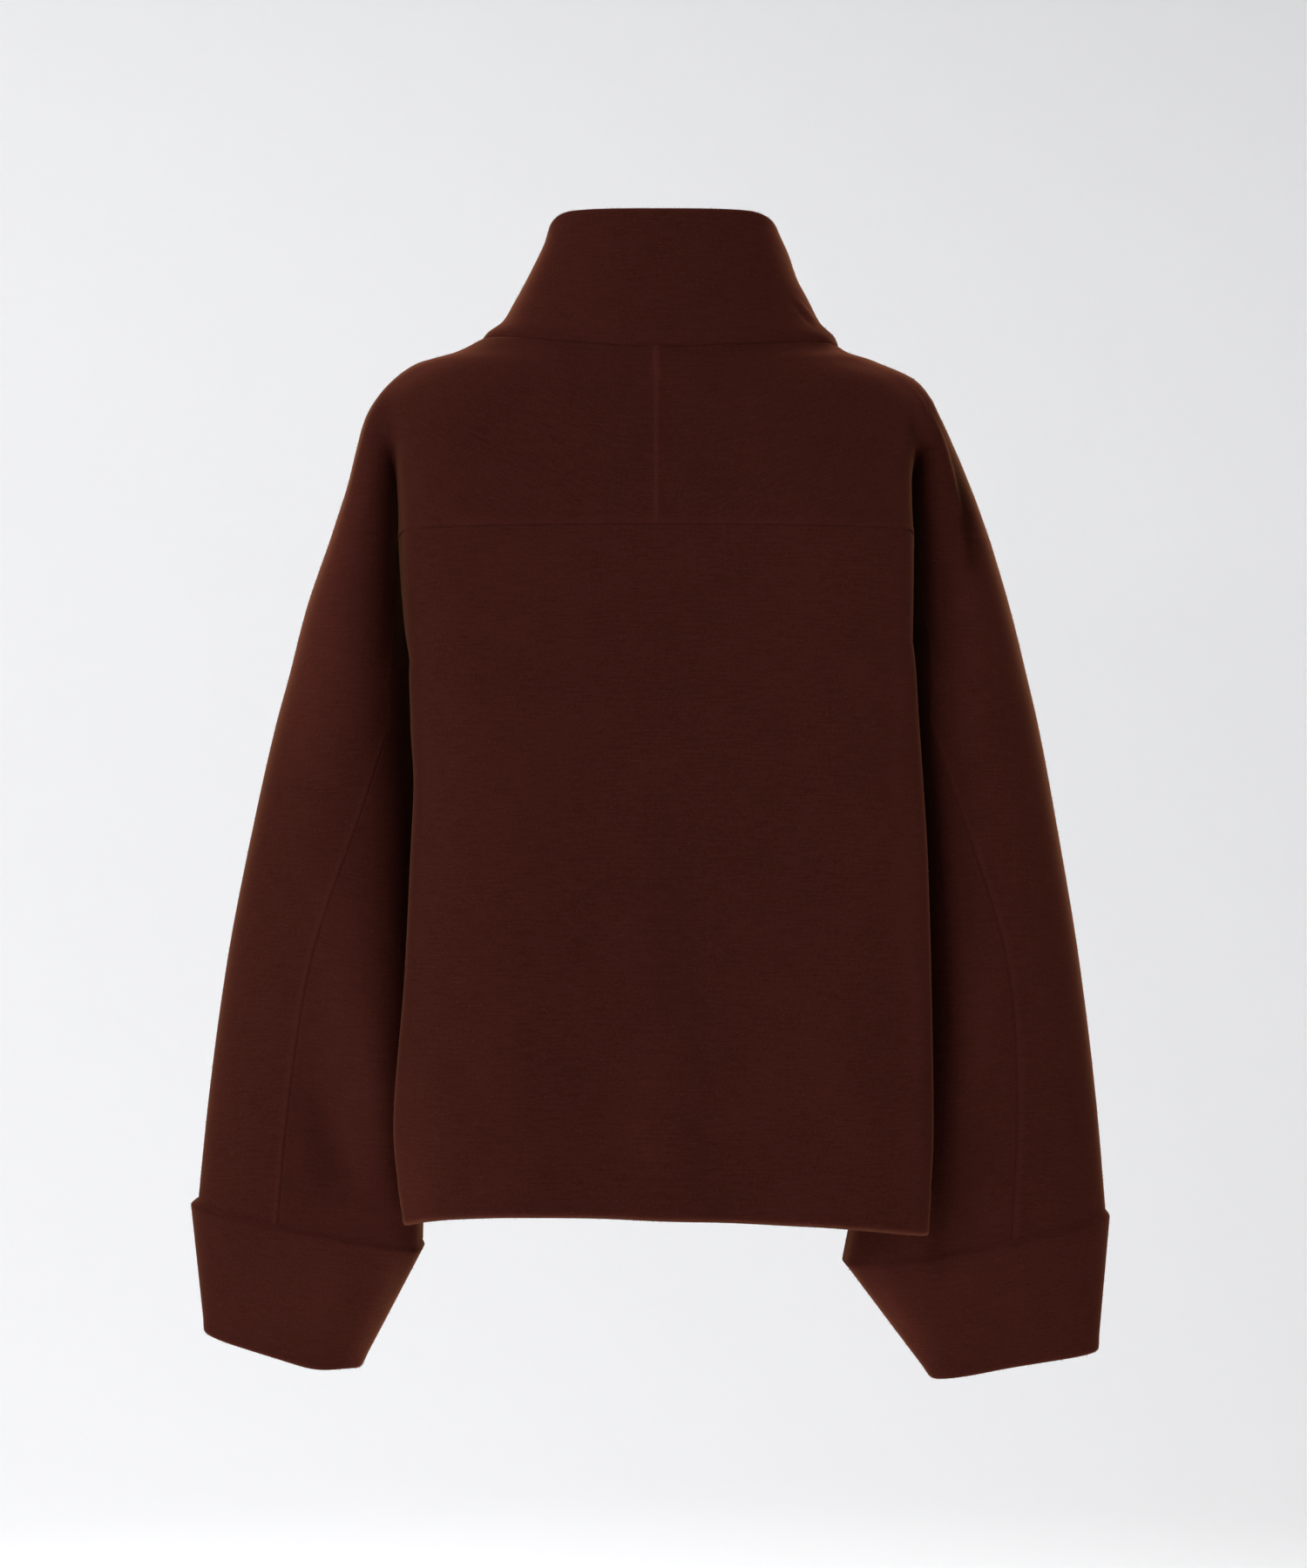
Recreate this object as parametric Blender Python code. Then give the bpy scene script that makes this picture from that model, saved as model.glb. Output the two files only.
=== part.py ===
"""Short wool coat with a funnel collar, yokes cut in one with the sleeves, and deep cuffs.

Metres. x points to the wearer's left, y to the back and z up. The origin lies between the
shoulders, at the height of the back neck seam. Depths named "down" are measured below it.
"""
import bpy
import numpy as np

WALL = 0.0026            # one layer of brushed wool
DOUBLE_WALL = 0.0042     # collar and cuffs, two layers
SEAM_GAP = 0.0003        # between two sewn pieces
YOKE_DOWN_CENTRE = 0.130
YOKE_DOWN_SIDE = 0.137
UNDERARM_DOWN = 0.270
LAP = 0.035              # each front reaches this far past the centre front
LAP_STEP = 0.0048        # the left front lies this far inside the right one
LAP_EASE = 0.030         # length over which it steps in
CUFF_STEP = 0.004        # the cuff stands proud of the sleeve at its seam
CUFF_OUTER_STEP = {"left": 0.0062, "right": 0.0036}   # the same at its outer edge
CUFF_INNER_STEP = {"left": 0.004, "right": 0.0}       # and at its inner edge
WOOL = (0.046, 0.0115, 0.0085, 1.0)
NAP_ROUGHNESS = 0.95
SHARP_ANGLE = np.radians(50)

SIDES = {"left": 1.0, "right": -1.0}

# Squareness of the body's and the sleeve's corners
BODY_POWER = {"back": 5.0, "front": 3.2}
SLEEVE_POWER = 2.2
# How late the body's sides turn in behind their corners
TUCK_POWER = {"back": 2.0, "front": 1.0}
# Place of the sleeve's crests, from its inner edge to its outer one
CREST_SHARE = 0.47
# How far the body's section has turned in where its armhole folds begin, and the furthest place for that
TURN_SHARE = 0.72
TURN_LIMIT = 0.92
# The armhole folds on the shoulder: shares of the way from the neck seam to the yoke seam where they begin
# and reach their depth, how much further out they begin and how that fades
VALLEY = {
    "left": {"start": 0.45, "full": 1.00, "spread": 0.019, "bend": 1.0},
    "right": {"start": 0.55, "full": 0.85, "spread": 0.034, "bend": 2.0},
}

# Columns and rows of the walls
BACK_COLUMNS = 11
FRONT_COLUMNS = 9
LAP_COLUMNS = 2
SLEEVE_COLUMNS = 7       # from the sleeve seam to the sleeve's outer edge, on each face
WING_COLUMNS = 4         # from the underarm to the sleeve seam, on each face
COLLAR_COLUMNS = 11      # from the centre back to the side, and from the side to the front
ARMHOLE_ROWS = 4
BODY_ROWS = 8
SLEEVE_ROWS = 9
FINE_STEPS = 240         # samples along a curve before it is shared out into columns
REACH_ROUNDS = 4         # rounds of fitting a body section to its corner
MITRE_LIMIT = 0.5


def table(columns, *rows):
    return dict(zip(columns.split(), np.array(rows, dtype=float).T))


# Rings from the neck seam to the yoke seam
CAP = table(
    "share down_left down_right down_back down_front half_left half_right mid_y back_y front_y power",
    (0.00, -0.0136, -0.0078, 0.000, 0.057, 0.1288, 0.1352, 0.000, 0.0850, -0.105, 2.20),
    (0.10, -0.0028, -0.0028, 0.008, 0.061, 0.1515, 0.1440, -0.002, 0.0885, -0.107, 2.25),
    (0.17, 0.0022, 0.0022, 0.013, 0.064, 0.1697, 0.1600, -0.003, 0.0908, -0.108, 2.28),
    (0.22, 0.0050, 0.0050, 0.018, 0.066, 0.1787, 0.1671, -0.004, 0.0925, -0.109, 2.30),
    (0.36, 0.0179, 0.0179, 0.034, 0.074, 0.1962, 0.1936, -0.006, 0.0980, -0.112, 2.40),
    (0.52, 0.0437, 0.0437, 0.058, 0.088, 0.2149, 0.2110, -0.010, 0.1050, -0.117, 2.50),
    (0.68, 0.0695, 0.0695, 0.080, 0.102, 0.2226, 0.2233, -0.013, 0.1100, -0.121, 2.60),
    (0.84, 0.1008, 0.1008, 0.104, 0.119, 0.2305, 0.2350, -0.016, 0.1145, -0.125, 2.70),
    (1.00, 0.1370, 0.1370, 0.130, 0.137, 0.2417, 0.2475, -0.020, 0.1180, -0.129, 2.80),
)

# Rings from the neck seam to the collar's top edge, with a soft roll above the seam; level is how far
# from the centre back the height holds before it runs to the side's
COLLAR = table(
    "share down_left down_right down_back down_front half_left half_right mid_y back_y front_y power level",
    (0.00, -0.0136, -0.0078, 0.000, 0.057, 0.1288, 0.1352, 0.000, 0.0850, -0.105, 2.20, 0.00),
    (0.08, -0.0180, -0.0145, -0.007, 0.050, 0.1252, 0.1325, 0.000, 0.0853, -0.106, 2.20, 0.00),
    (0.19, -0.0265, -0.0255, -0.019, 0.037, 0.1140, 0.1217, -0.002, 0.0822, -0.103, 2.25, 0.00),
    (0.36, -0.0415, -0.0415, -0.036, 0.017, 0.1052, 0.1136, -0.005, 0.0765, -0.099, 2.30, 0.05),
    (0.53, -0.0570, -0.0570, -0.053, -0.003, 0.0968, 0.1058, -0.008, 0.0708, -0.095, 2.50, 0.15),
    (0.78, -0.0802, -0.0802, -0.079, -0.032, 0.0852, 0.0974, -0.011, 0.0626, -0.089, 2.75, 0.35),
    (1.00, -0.0935, -0.0935, -0.1034, -0.059, 0.0790, 0.0890, -0.014, 0.0560, -0.084, 3.20, 0.50),
)

# Sections of the body; above the underarm its back and front end in the armhole folds
BODY = table(
    "down back_y front_y back_corner_left back_corner_right front_corner_left front_corner_right "
    "fold_left fold_right back_fold_y front_fold_y",
    (0.130, 0.1180, -0.1290, 0.1810, 0.1845, 0.174, 0.177, 0.1885, 0.1880, 0.038, -0.072),
    (0.165, 0.1190, -0.1315, 0.1808, 0.1850, 0.174, 0.177, 0.1870, 0.1878, 0.030, -0.066),
    (0.205, 0.1195, -0.1335, 0.1797, 0.1858, 0.174, 0.176, 0.1840, 0.1870, 0.018, -0.056),
    (0.240, 0.1197, -0.1350, 0.1785, 0.1878, 0.173, 0.175, 0.1758, 0.1785, 0.007, -0.047),
    (0.270, 0.1198, -0.1360, 0.1780, 0.1900, 0.172, 0.174, 0.1720, 0.1730, -0.020, -0.020),
    (0.315, 0.1200, -0.1370, 0.1755, 0.1927, 0.170, 0.173, 0.1660, 0.1640, -0.020, -0.020),
    (0.360, 0.1202, -0.1375, 0.1772, 0.1953, 0.169, 0.172, 0.1625, 0.1570, -0.019, -0.019),
    (0.450, 0.1205, -0.1380, 0.1813, 0.1979, 0.168, 0.168, 0.1580, 0.1470, -0.017, -0.017),
    (0.560, 0.1205, -0.1380, 0.1882, 0.1993, 0.168, 0.159, 0.1532, 0.1330, -0.0135, -0.0135),
    (0.640, 0.1200, -0.1370, 0.1800, 0.1950, 0.166, 0.151, 0.1500, 0.1220, -0.012, -0.012),
)

# Sections of the sleeve below the yoke seam, by the depth of its outer edge; lean is how much lower
# its inner edge lies, opening and power say how straight and how square its back comes out of the armhole
# fold, and seam is the place of the sleeve seams between underarm and outer edge
SLEEVE = table(
    "down outer_left outer_right inner_left inner_right inner_y mid_y back_y front_y",
    (0.137, 0.2417, 0.2475, 0.1720, 0.1730, -0.020, -0.014, 0.0780, -0.100),
    (0.1845, 0.2585, 0.2618, 0.1720, 0.1730, -0.020, -0.015, 0.0810, -0.106),
    (0.2365, 0.2725, 0.2752, 0.1720, 0.1730, -0.020, -0.018, 0.0820, -0.111),
    (0.270, 0.2820, 0.2834, 0.1720, 0.1730, -0.020, -0.020, 0.0810, -0.114),
    (0.3408, 0.2988, 0.2974, 0.1724, 0.1760, -0.022, -0.025, 0.0750, -0.118),
    (0.4457, 0.3203, 0.3160, 0.1730, 0.1720, -0.027, -0.033, 0.0620, -0.121),
    (0.5509, 0.3357, 0.3300, 0.1742, 0.1570, -0.034, -0.041, 0.0450, -0.119),
    (0.640, 0.3455, 0.3385, 0.1757, 0.1385, -0.040, -0.046, 0.0290, -0.114),
)
SLEEVE_TURN = table(
    "down lean_left lean_right opening_left opening_right front_opening power_left power_right seam",
    (0.137, 0.000, 0.000, 0.25, 0.60, 0.60, 2.6, 2.2, 0.00),
    (0.1845, 0.000, 0.000, 0.30, 0.66, 0.66, 2.6, 2.2, 0.13),
    (0.2365, 0.000, 0.000, 0.46, 0.76, 0.76, 2.8, 2.2, 0.27),
    (0.270, 0.000, 0.000, 0.50, 0.80, 0.78, 3.0, 2.2, 0.34),
    (0.3408, 0.005, 0.006, 0.22, 0.74, 0.55, 3.3, 2.2, 0.43),
    (0.4457, 0.013, 0.015, 0.05, 0.58, 0.30, 3.8, 2.4, 0.53),
    (0.5509, 0.023, 0.026, 0.00, 0.25, 0.20, 4.6, 3.0, 0.57),
    (0.640, 0.033, 0.039, 0.00, 0.05, 0.15, 5.0, 3.8, 0.59),
)

CUFF_SEAM_DOWN = {"left": 0.625, "right": 0.634}

# Bottom edge of each cuff; lift is how much higher it runs on the crests than straight across
CUFF_END = {
    "left": {"down": 0.7275, "lean": 0.0350, "outer": 0.3406, "inner": 0.2270, "lift": 0.003,
             "inner_y": -0.052, "mid_y": -0.052, "back": -0.008, "front": -0.100, "back_opening": 0.0,
             "front_opening": 0.1, "back_power": 3.6, "front_power": SLEEVE_POWER},
    "right": {"down": 0.7414, "lean": 0.0205, "outer": 0.3334, "inner": 0.2070, "lift": 0.0035,
              "inner_y": -0.052, "mid_y": -0.052, "back": -0.008, "front": -0.100, "back_opening": 0.0,
              "front_opening": 0.1, "back_power": 3.6, "front_power": SLEEVE_POWER},
}
CUFF_SHARES = (0.0, 0.05, 0.35, 0.68, 1.0)

# Hem line across the coat
HEM = table("x down", (-0.20, 0.6340), (-0.12, 0.6290), (-0.09, 0.6275), (-0.03, 0.6246), (0.00, 0.6240),
            (0.045, 0.6224), (0.094, 0.6214), (0.18, 0.6276))

# Soft hanging folds of the lower back and fronts
FOLDS = {
    "back": table("x width depth top", (-0.152, 0.024, 0.0030, 0.36), (-0.070, 0.034, -0.0026, 0.34),
                  (-0.020, 0.022, 0.0024, 0.38), (0.040, 0.030, -0.0030, 0.36),
                  (0.095, 0.026, 0.0034, 0.33)),
    "front": table("x width depth top", (-0.130, 0.030, 0.0034, 0.34), (-0.075, 0.026, -0.0030, 0.38),
                   (0.085, 0.028, -0.0030, 0.36), (0.135, 0.030, 0.0036, 0.33)),
}
FOLD_EASE = 0.20


def smooth(stations, values, places):
    """Cubic through a table's values that doesn't swing past them."""
    width = np.diff(stations)
    slope = np.diff(values) / width
    same_way = slope[:-1] * slope[1:] > 0
    total = np.where(same_way, slope[:-1] + slope[1:], 1.0)
    inside = np.where(same_way, 2 * slope[:-1] * slope[1:] / total, 0.0)
    tangent = np.concatenate([slope[:1], inside, slope[-1:]])
    places = np.clip(places, stations[0], stations[-1])
    k = np.clip(np.searchsorted(stations, places, side="right") - 1, 0, len(width) - 1)
    t = (places - stations[k]) / width[k]
    hold = (1 + 2 * t) * (1 - t) ** 2 * values[k] + t * t * (3 - 2 * t) * values[k + 1]
    return hold + width[k] * t * (1 - t) * ((1 - t) * tangent[k] - t * tangent[k + 1])


def at(rows, name, place):
    stations = rows["down"] if "down" in rows else rows["share"]
    return smooth(stations, rows[name], np.asarray(place, dtype=float))


def ease(value):
    value = np.clip(value, 0.0, 1.0)
    return value * value * (3 - 2 * value)


def quarter(angle, power):
    """Quarter of a rounded square: 0 at the middle of a face, a right angle at the side."""
    across = np.sin(angle)
    along = np.cos(angle).clip(0.0)
    reach = (across ** power + along ** power) ** (-1 / power)
    return across * reach, along * reach


def even_angles(count, power):
    """Angles that share out both the length and the turning of a quarter evenly."""
    fine = np.linspace(0, np.pi / 2, FINE_STEPS)
    step = np.diff(np.stack(quarter(fine, power)))
    heading = np.unwrap(np.arctan2(step[1], step[0]))
    turning = np.abs(np.gradient(heading))
    length = np.hypot(step[0], step[1])
    measure = np.concatenate([[0.0], np.cumsum(length / length.sum() + turning / turning.sum())])
    return np.interp(np.linspace(0, measure[-1], count + 1), measure, fine)


def lengths(points):
    steps = np.linalg.norm(np.diff(points, axis=0), axis=1)
    return np.concatenate([[0.0], np.cumsum(steps)])


def pick(points, distances, places):
    return np.stack([np.interp(places, distances, points[:, k]) for k in range(points.shape[1])], axis=-1)


# Body and sleeve sections

def corner_reach(face, corner, fold_x):
    """Reach of the rounded square whose tucked side still comes out to the given corner."""
    across, along = quarter(np.linspace(0, np.pi / 2, FINE_STEPS), BODY_POWER[face])
    tuck = ease(1 - along) ** TUCK_POWER[face]
    corner = np.asarray(corner)[..., None]
    fold_x = np.minimum(np.asarray(fold_x)[..., None], corner)
    reach = corner
    for _ in range(REACH_ROUNDS):
        reach = reach + corner - np.max(reach * (across - tuck) + fold_x * tuck, axis=-1, keepdims=True)
    return reach[..., 0]


def body_points(side, face, down, angle):
    """Half of the back or front at given depths: angle 0 on the centre line, a right angle at the side."""
    across, along = quarter(angle, BODY_POWER[face])
    corner = at(BODY, f"{face}_corner_{side}", down)
    fold_x = at(BODY, f"fold_{side}", down)
    fold_y = at(BODY, f"{face}_fold_y", down)
    face_y = at(BODY, f"{face}_y", down)
    tuck = ease(1 - along) ** TUCK_POWER[face]
    reach = corner_reach(face, corner, fold_x)
    x = SIDES[side] * (reach * (across - tuck) + fold_x * tuck)
    y = fold_y + (face_y - fold_y) * along
    outward = np.sign(BODY[f"{face}_y"][0])
    folds = FOLDS[face]
    for fold_x, width, depth, top in zip(folds["x"], folds["width"], folds["depth"], folds["top"]):
        bump = np.exp(-((x - fold_x) / width) ** 2) * along
        y = y + outward * depth * bump * ease((down - top) / FOLD_EASE)
    return np.stack([x, y, -down + 0 * x], axis=-1)


def hem_down(side, face, angle):
    level = body_points(side, face, np.full_like(angle, BODY["down"][-1]), angle)
    return smooth(HEM["x"], HEM["down"], level[:, 0])


def sleeve_section(side, down):
    """Edges and crests of the sleeve where its outer edge lies at a given depth."""
    section = {"down": down, "lift": 0.0}
    section["lean"] = at(SLEEVE_TURN, f"lean_{side}", down)
    section["outer"] = at(SLEEVE, f"outer_{side}", down)
    section["mid_y"] = at(SLEEVE, "mid_y", down)
    section["back_opening"] = at(SLEEVE_TURN, f"opening_{side}", down)
    section["front_opening"] = at(SLEEVE_TURN, "front_opening", down)
    section["back_power"] = at(SLEEVE_TURN, f"power_{side}", down)
    section["front_power"] = SLEEVE_POWER
    section["inner"] = at(SLEEVE, f"inner_{side}", down)
    for face in ("back", "front"):
        section[face] = at(SLEEVE, f"{face}_y", down)
        section[f"{face}_inner_y"] = at(SLEEVE, "inner_y", down)
        if down <= UNDERARM_DOWN:
            section["inner"] = at(BODY, f"fold_{side}", down)
            section[f"{face}_inner_y"] = at(BODY, f"{face}_fold_y", down)
    return section


def cuff_section(side, share):
    """Section between the cuff's seam (0) and its bottom edge (1)."""
    top = sleeve_section(side, CUFF_SEAM_DOWN[side])
    end = dict(CUFF_END[side])
    end["back_inner_y"] = end["front_inner_y"] = end.pop("inner_y")
    section = {name: top[name] + (end[name] - top[name]) * share for name in top}
    proud = ease(share / CUFF_SHARES[1]) * (1 - share)
    section["outer"] += CUFF_OUTER_STEP[side] * proud
    section["inner"] -= CUFF_INNER_STEP[side] * proud
    section["back"] += CUFF_STEP * proud
    section["front"] -= CUFF_STEP * proud
    return section


def tube_half(side, section, face, shares):
    """Points on one face of a sleeve or cuff, from its inner edge (0) round to its outer edge (1)."""
    inner, outer = section["inner"], section["outer"]
    inner_y, face_y, mid_y = section[f"{face}_inner_y"], section[face], section["mid_y"]
    crest = inner + CREST_SHARE * (outer - inner)
    angle = np.linspace(0, np.pi / 2, FINE_STEPS)
    across, along = quarter(angle, section[f"{face}_power"])
    straight = angle / angle[-1]
    bow_x = crest - (crest - inner) * along
    bow_y = inner_y + (face_y - inner_y) * across
    line_x = inner + (crest - inner) * straight
    line_y = inner_y + (face_y - inner_y) * straight
    slack = section[f"{face}_opening"] * (1 - straight)
    inner_part = np.stack([bow_x + slack * (line_x - bow_x), bow_y + slack * (line_y - bow_y)], axis=-1)
    across, along = quarter(angle, SLEEVE_POWER)
    outer_part = np.stack([crest + (outer - crest) * across, mid_y + (face_y - mid_y) * along], axis=-1)
    path = np.concatenate([inner_part, outer_part[1:]])
    distance = lengths(path)
    x, y = pick(path, distance / distance[-1], shares).T
    across_share = (outer - x) / (outer - inner)
    lift = section["lift"] * np.sin(np.pi * across_share)
    return np.stack([SIDES[side] * x, y, -section["down"] - section["lean"] * across_share + lift], axis=-1)


def tube_rows(side, sections, face, shares_of):
    return np.array([tube_half(side, section, face, shares_of(section)) for section in sections])


def seam_share(section):
    return at(SLEEVE_TURN, "seam", section["down"])


def sleeve_sections(side):
    joined = np.linspace(YOKE_DOWN_SIDE, UNDERARM_DOWN, ARMHOLE_ROWS + 1)
    free = np.linspace(UNDERARM_DOWN, CUFF_SEAM_DOWN[side], SLEEVE_ROWS + 1)
    return [sleeve_section(side, down) for down in np.concatenate([joined, free[1:]])]


def wing(side, face):
    """Under-sleeve on one face, from the armhole fold or the underarm seam to the sleeve seam."""
    shares = np.linspace(0, 1, WING_COLUMNS + 1)
    return tube_rows(side, sleeve_sections(side), face, lambda section: shares * seam_share(section))


def upper_sleeve(side, sections, face):
    shares = np.linspace(0, 1, SLEEVE_COLUMNS + 1)
    return tube_rows(side, sections, face,
                     lambda section: seam_share(section) + (1 - seam_share(section)) * shares)


def body_half(side, face, angles):
    """Rows of a back or front half from the yoke seam's level to the hem."""
    place = angles / angles[-1]
    top = YOKE_DOWN_SIDE + 0 * place
    if face == "back":
        top = YOKE_DOWN_CENTRE + (YOKE_DOWN_SIDE - YOKE_DOWN_CENTRE) * place ** 2
    bottom = hem_down(side, face, angles)
    upper = [top + (UNDERARM_DOWN - top) * t for t in np.linspace(0, 1, ARMHOLE_ROWS + 1)]
    lower = [UNDERARM_DOWN + (bottom - UNDERARM_DOWN) * t for t in np.linspace(0, 1, BODY_ROWS + 1)[1:]]
    return np.array([body_points(side, face, down, angles) for down in upper + lower])


# Rings round the neck and shoulders

BACK_ANGLES = even_angles(BACK_COLUMNS, BODY_POWER["back"])
LAP_ANGLES = np.arctan(np.linspace(0, LAP, LAP_COLUMNS + 1) / BODY["front_corner_left"][0])
BESIDE_LAP = even_angles(FRONT_COLUMNS, BODY_POWER["front"])[1:] * (1 - LAP_ANGLES[-1] * 2 / np.pi)
FRONT_ANGLES = np.concatenate([LAP_ANGLES, LAP_ANGLES[-1] + BESIDE_LAP])


def ring(rows, side, share):
    """Back and front half curves of a neck or shoulder ring, each from its centre line to the side."""
    angle = np.linspace(0, np.pi / 2, FINE_STEPS)
    across, along = quarter(angle, at(rows, "power", share))
    half, mid_y = at(rows, f"half_{side}", share), at(rows, "mid_y", share)
    curves = {}
    for face in ("back", "front"):
        face_y = at(rows, f"{face}_y", share)
        curves[face] = np.stack([SIDES[side] * half * across, mid_y + (face_y - mid_y) * along], axis=-1)
    return curves


def ring_places(curve, places, lap_part):
    """Shares of a half curve's length; the lap keeps its real width on every ring."""
    if lap_part is None:
        return places
    lap_share = LAP / lengths(curve)[-1]
    spread = lap_share + (1 - lap_share) * (places - lap_part) / (1 - lap_part)
    return np.where(places < lap_part, places / lap_part * lap_share, spread)


def on_ring(curve, places):
    distance = lengths(curve)
    return pick(curve, distance, places * distance[-1])


def ring_down(rows, side, face, places, share):
    """Depth along a ring: the centre's holds as far as level, then it runs to the side's."""
    centre, edge = at(rows, f"down_{face}", share), at(rows, f"down_{side}", share)
    level = at(rows, "level", share) if face == "back" and "level" in rows else 0.0
    run = np.clip((places - level) / (1 - level), 0.0, 1.0)
    return centre + (edge - centre) * np.sin(run * np.pi / 2) ** 2


def fill_valley(points, first, last):
    """Straight bridge over the armhole fold between two columns."""
    bridge = points.copy()
    distance = lengths(points[first:last + 1])
    span = (distance / distance[-1])[:, None]
    bridge[first:last + 1] = points[first] + (points[last] - points[first]) * span
    return bridge


def steer(curve, places, turn, reach, valley, share):
    """Columns moved sideways so that the armhole fold runs on up the shoulder."""
    distance = lengths(curve)
    sideways = np.abs(curve[:, 0])
    aim = min(reach + valley["spread"] * (1 - share) ** valley["bend"], TURN_LIMIT * sideways[-1])
    aimed = np.interp(aim, sideways, distance / distance[-1])
    moved = places[turn] + (aimed - places[turn]) * ease(share / valley["start"])
    return np.interp(places, [0.0, places[turn], 1.0], [0.0, moved, 1.0])


def shoulder_rows(side):
    """Rows from the neck seam to the yoke seam's level, over columns from centre back to centre front."""
    section = sleeve_section(side, YOKE_DOWN_SIDE)
    valley = VALLEY[side]
    body = {"back": body_half(side, "back", BACK_ANGLES)[0],
            "front": body_half(side, "front", FRONT_ANGLES)[0]}
    rows = {}
    for face in ("back", "front"):
        arm = upper_sleeve(side, [section], face)[0]
        level = np.concatenate([body[face], arm[1:]])
        inner, outer = body[face][-1, 1], body[face][0, 1]
        turn = np.argmax((body[face][:, 1] - inner) / (outer - inner) < TURN_SHARE)
        crest = len(body[face]) - 1 + np.argmax(np.abs(arm[:, 1]))
        bridge = fill_valley(level[:, :2], turn, crest)
        distance = lengths(bridge)
        places = distance / distance[-1]
        lap_part = places[LAP_COLUMNS] if face == "front" else None
        rows[face] = []
        last_curve = ring(CAP, side, 1.0)[face]
        last_places = ring_places(last_curve, places, lap_part)
        last_flat = on_ring(last_curve, last_places)
        reach = np.abs(last_flat[turn, 0])
        last_z = -ring_down(CAP, side, face, last_places, 1.0)
        for share in CAP["share"]:
            curve = ring(CAP, side, share)[face]
            here = steer(curve, ring_places(curve, places, lap_part), turn, reach, valley, share)
            flat = on_ring(curve, here) + (bridge - last_flat) * ease(share)
            depth = ease((share - valley["start"]) / (valley["full"] - valley["start"]))
            flat = flat + (level[:, :2] - bridge) * depth
            z = -ring_down(CAP, side, face, here, share) + (level[:, 2] - last_z) * ease(share)
            rows[face].append(np.column_stack([flat, z]))
    return {face: np.array(points) for face, points in rows.items()}


# Pieces as grids of outer points, columns running from the back round the left to the front

def tucked(points):
    """The left front and collar end step in under the right ones."""
    moved = points.copy()
    front = points[..., 1] < 0
    moved[..., 1] += LAP_STEP * ease((LAP + LAP_EASE - points[..., 0]) / LAP_EASE) * front
    return moved


def yoke(side):
    rows = shoulder_rows(side)
    back_count, front_count = BACK_COLUMNS, len(FRONT_ANGLES) - 1
    over = rows["front"][:, front_count:][:, ::-1]
    sections = sleeve_sections(side)
    outer = np.concatenate([upper_sleeve(side, sections, "back"),
                            upper_sleeve(side, sections, "front")[:, ::-1][:, 1:]], axis=1)
    shoulder = np.concatenate([rows["back"], over[:, 1:]], axis=1)
    shoulder[-1, back_count:] = outer[0]
    return [shoulder, outer]


def back(side):
    return [body_half(side, "back", BACK_ANGLES), wing(side, "back")]


def front(side):
    other = "right" if side == "left" else "left"
    rows = {name: np.concatenate([shoulder_rows(name)["front"][:-1, :len(FRONT_ANGLES)],
                                  body_half(name, "front", FRONT_ANGLES)]) for name in SIDES}
    lap = rows[other][:, 1:LAP_COLUMNS + 1]
    panel = np.concatenate([rows[side][:, ::-1], lap], axis=1)
    grids = [panel, wing(side, "front")[:, ::-1]]
    return [tucked(grid) for grid in grids] if side == "left" else grids


def collar():
    even = np.linspace(0, 1, COLLAR_COLUMNS + 1)
    lap_part = {"back": None, "front": 0.5}
    lapped = np.concatenate([np.linspace(0, 1, LAP_COLUMNS + 1), 1 + even[2:]]) * lap_part["front"]
    places = {"back": even, "front": lapped}
    rows = []
    for share in COLLAR["share"][::-1]:
        parts = {}
        for side in SIDES:
            for face, curve in ring(COLLAR, side, share).items():
                here = ring_places(curve, places[face], lap_part[face])
                parts[side, face] = np.column_stack([on_ring(curve, here),
                                                     -ring_down(COLLAR, side, face, here, share)])
        over = parts["left", "front"][LAP_COLUMNS:0:-1]
        right = np.concatenate([parts["right", "front"], parts["right", "back"][::-1][1:]])
        left = np.concatenate([parts["left", "back"][1:], parts["left", "front"][::-1][1:]])
        under = parts["right", "front"][1:LAP_COLUMNS + 1]
        rows.append(np.concatenate([over, right, tucked(np.concatenate([left, under]))]))
    return [np.array(rows)]


def cuff(side):
    rings = []
    for share in CUFF_SHARES:
        section = cuff_section(side, share)
        seam = at(SLEEVE_TURN, "seam", CUFF_SEAM_DOWN[side])
        shares = np.concatenate([np.linspace(0, seam, WING_COLUMNS + 1),
                                 np.linspace(seam, 1, SLEEVE_COLUMNS + 1)[1:]])
        rear = tube_half(side, section, "back", shares)
        fore = tube_half(side, section, "front", shares)[::-1]
        rings.append(np.concatenate([rear, fore[1:]]))
    return [np.array(rings)]


# Walls

def place_key(point):
    return tuple(np.round(point, 6))


def weld(grids, flipped):
    """Outer points and triangles of a piece, with the points that its grids share joined."""
    index = {}
    points = []
    triangles = []

    def number(point):
        key = place_key(point)
        if key not in index:
            index[key] = len(points)
            points.append(point)
        return index[key]

    for grid, flip in zip(grids, flipped):
        ids = np.array([[number(point) for point in row] for row in grid])
        for r in range(ids.shape[0] - 1):
            for c in range(ids.shape[1] - 1):
                a, b, d, e = ids[r, c], ids[r, c + 1], ids[r + 1, c + 1], ids[r + 1, c]
                for corner in ((a, b, d), (a, d, e)):
                    if len(set(corner)) == 3:
                        triangles.append(corner[::-1] if flip else corner)
    return np.array(points), np.array(triangles)


def unit(vector):
    return vector / max(np.linalg.norm(vector), 1e-12)


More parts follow.
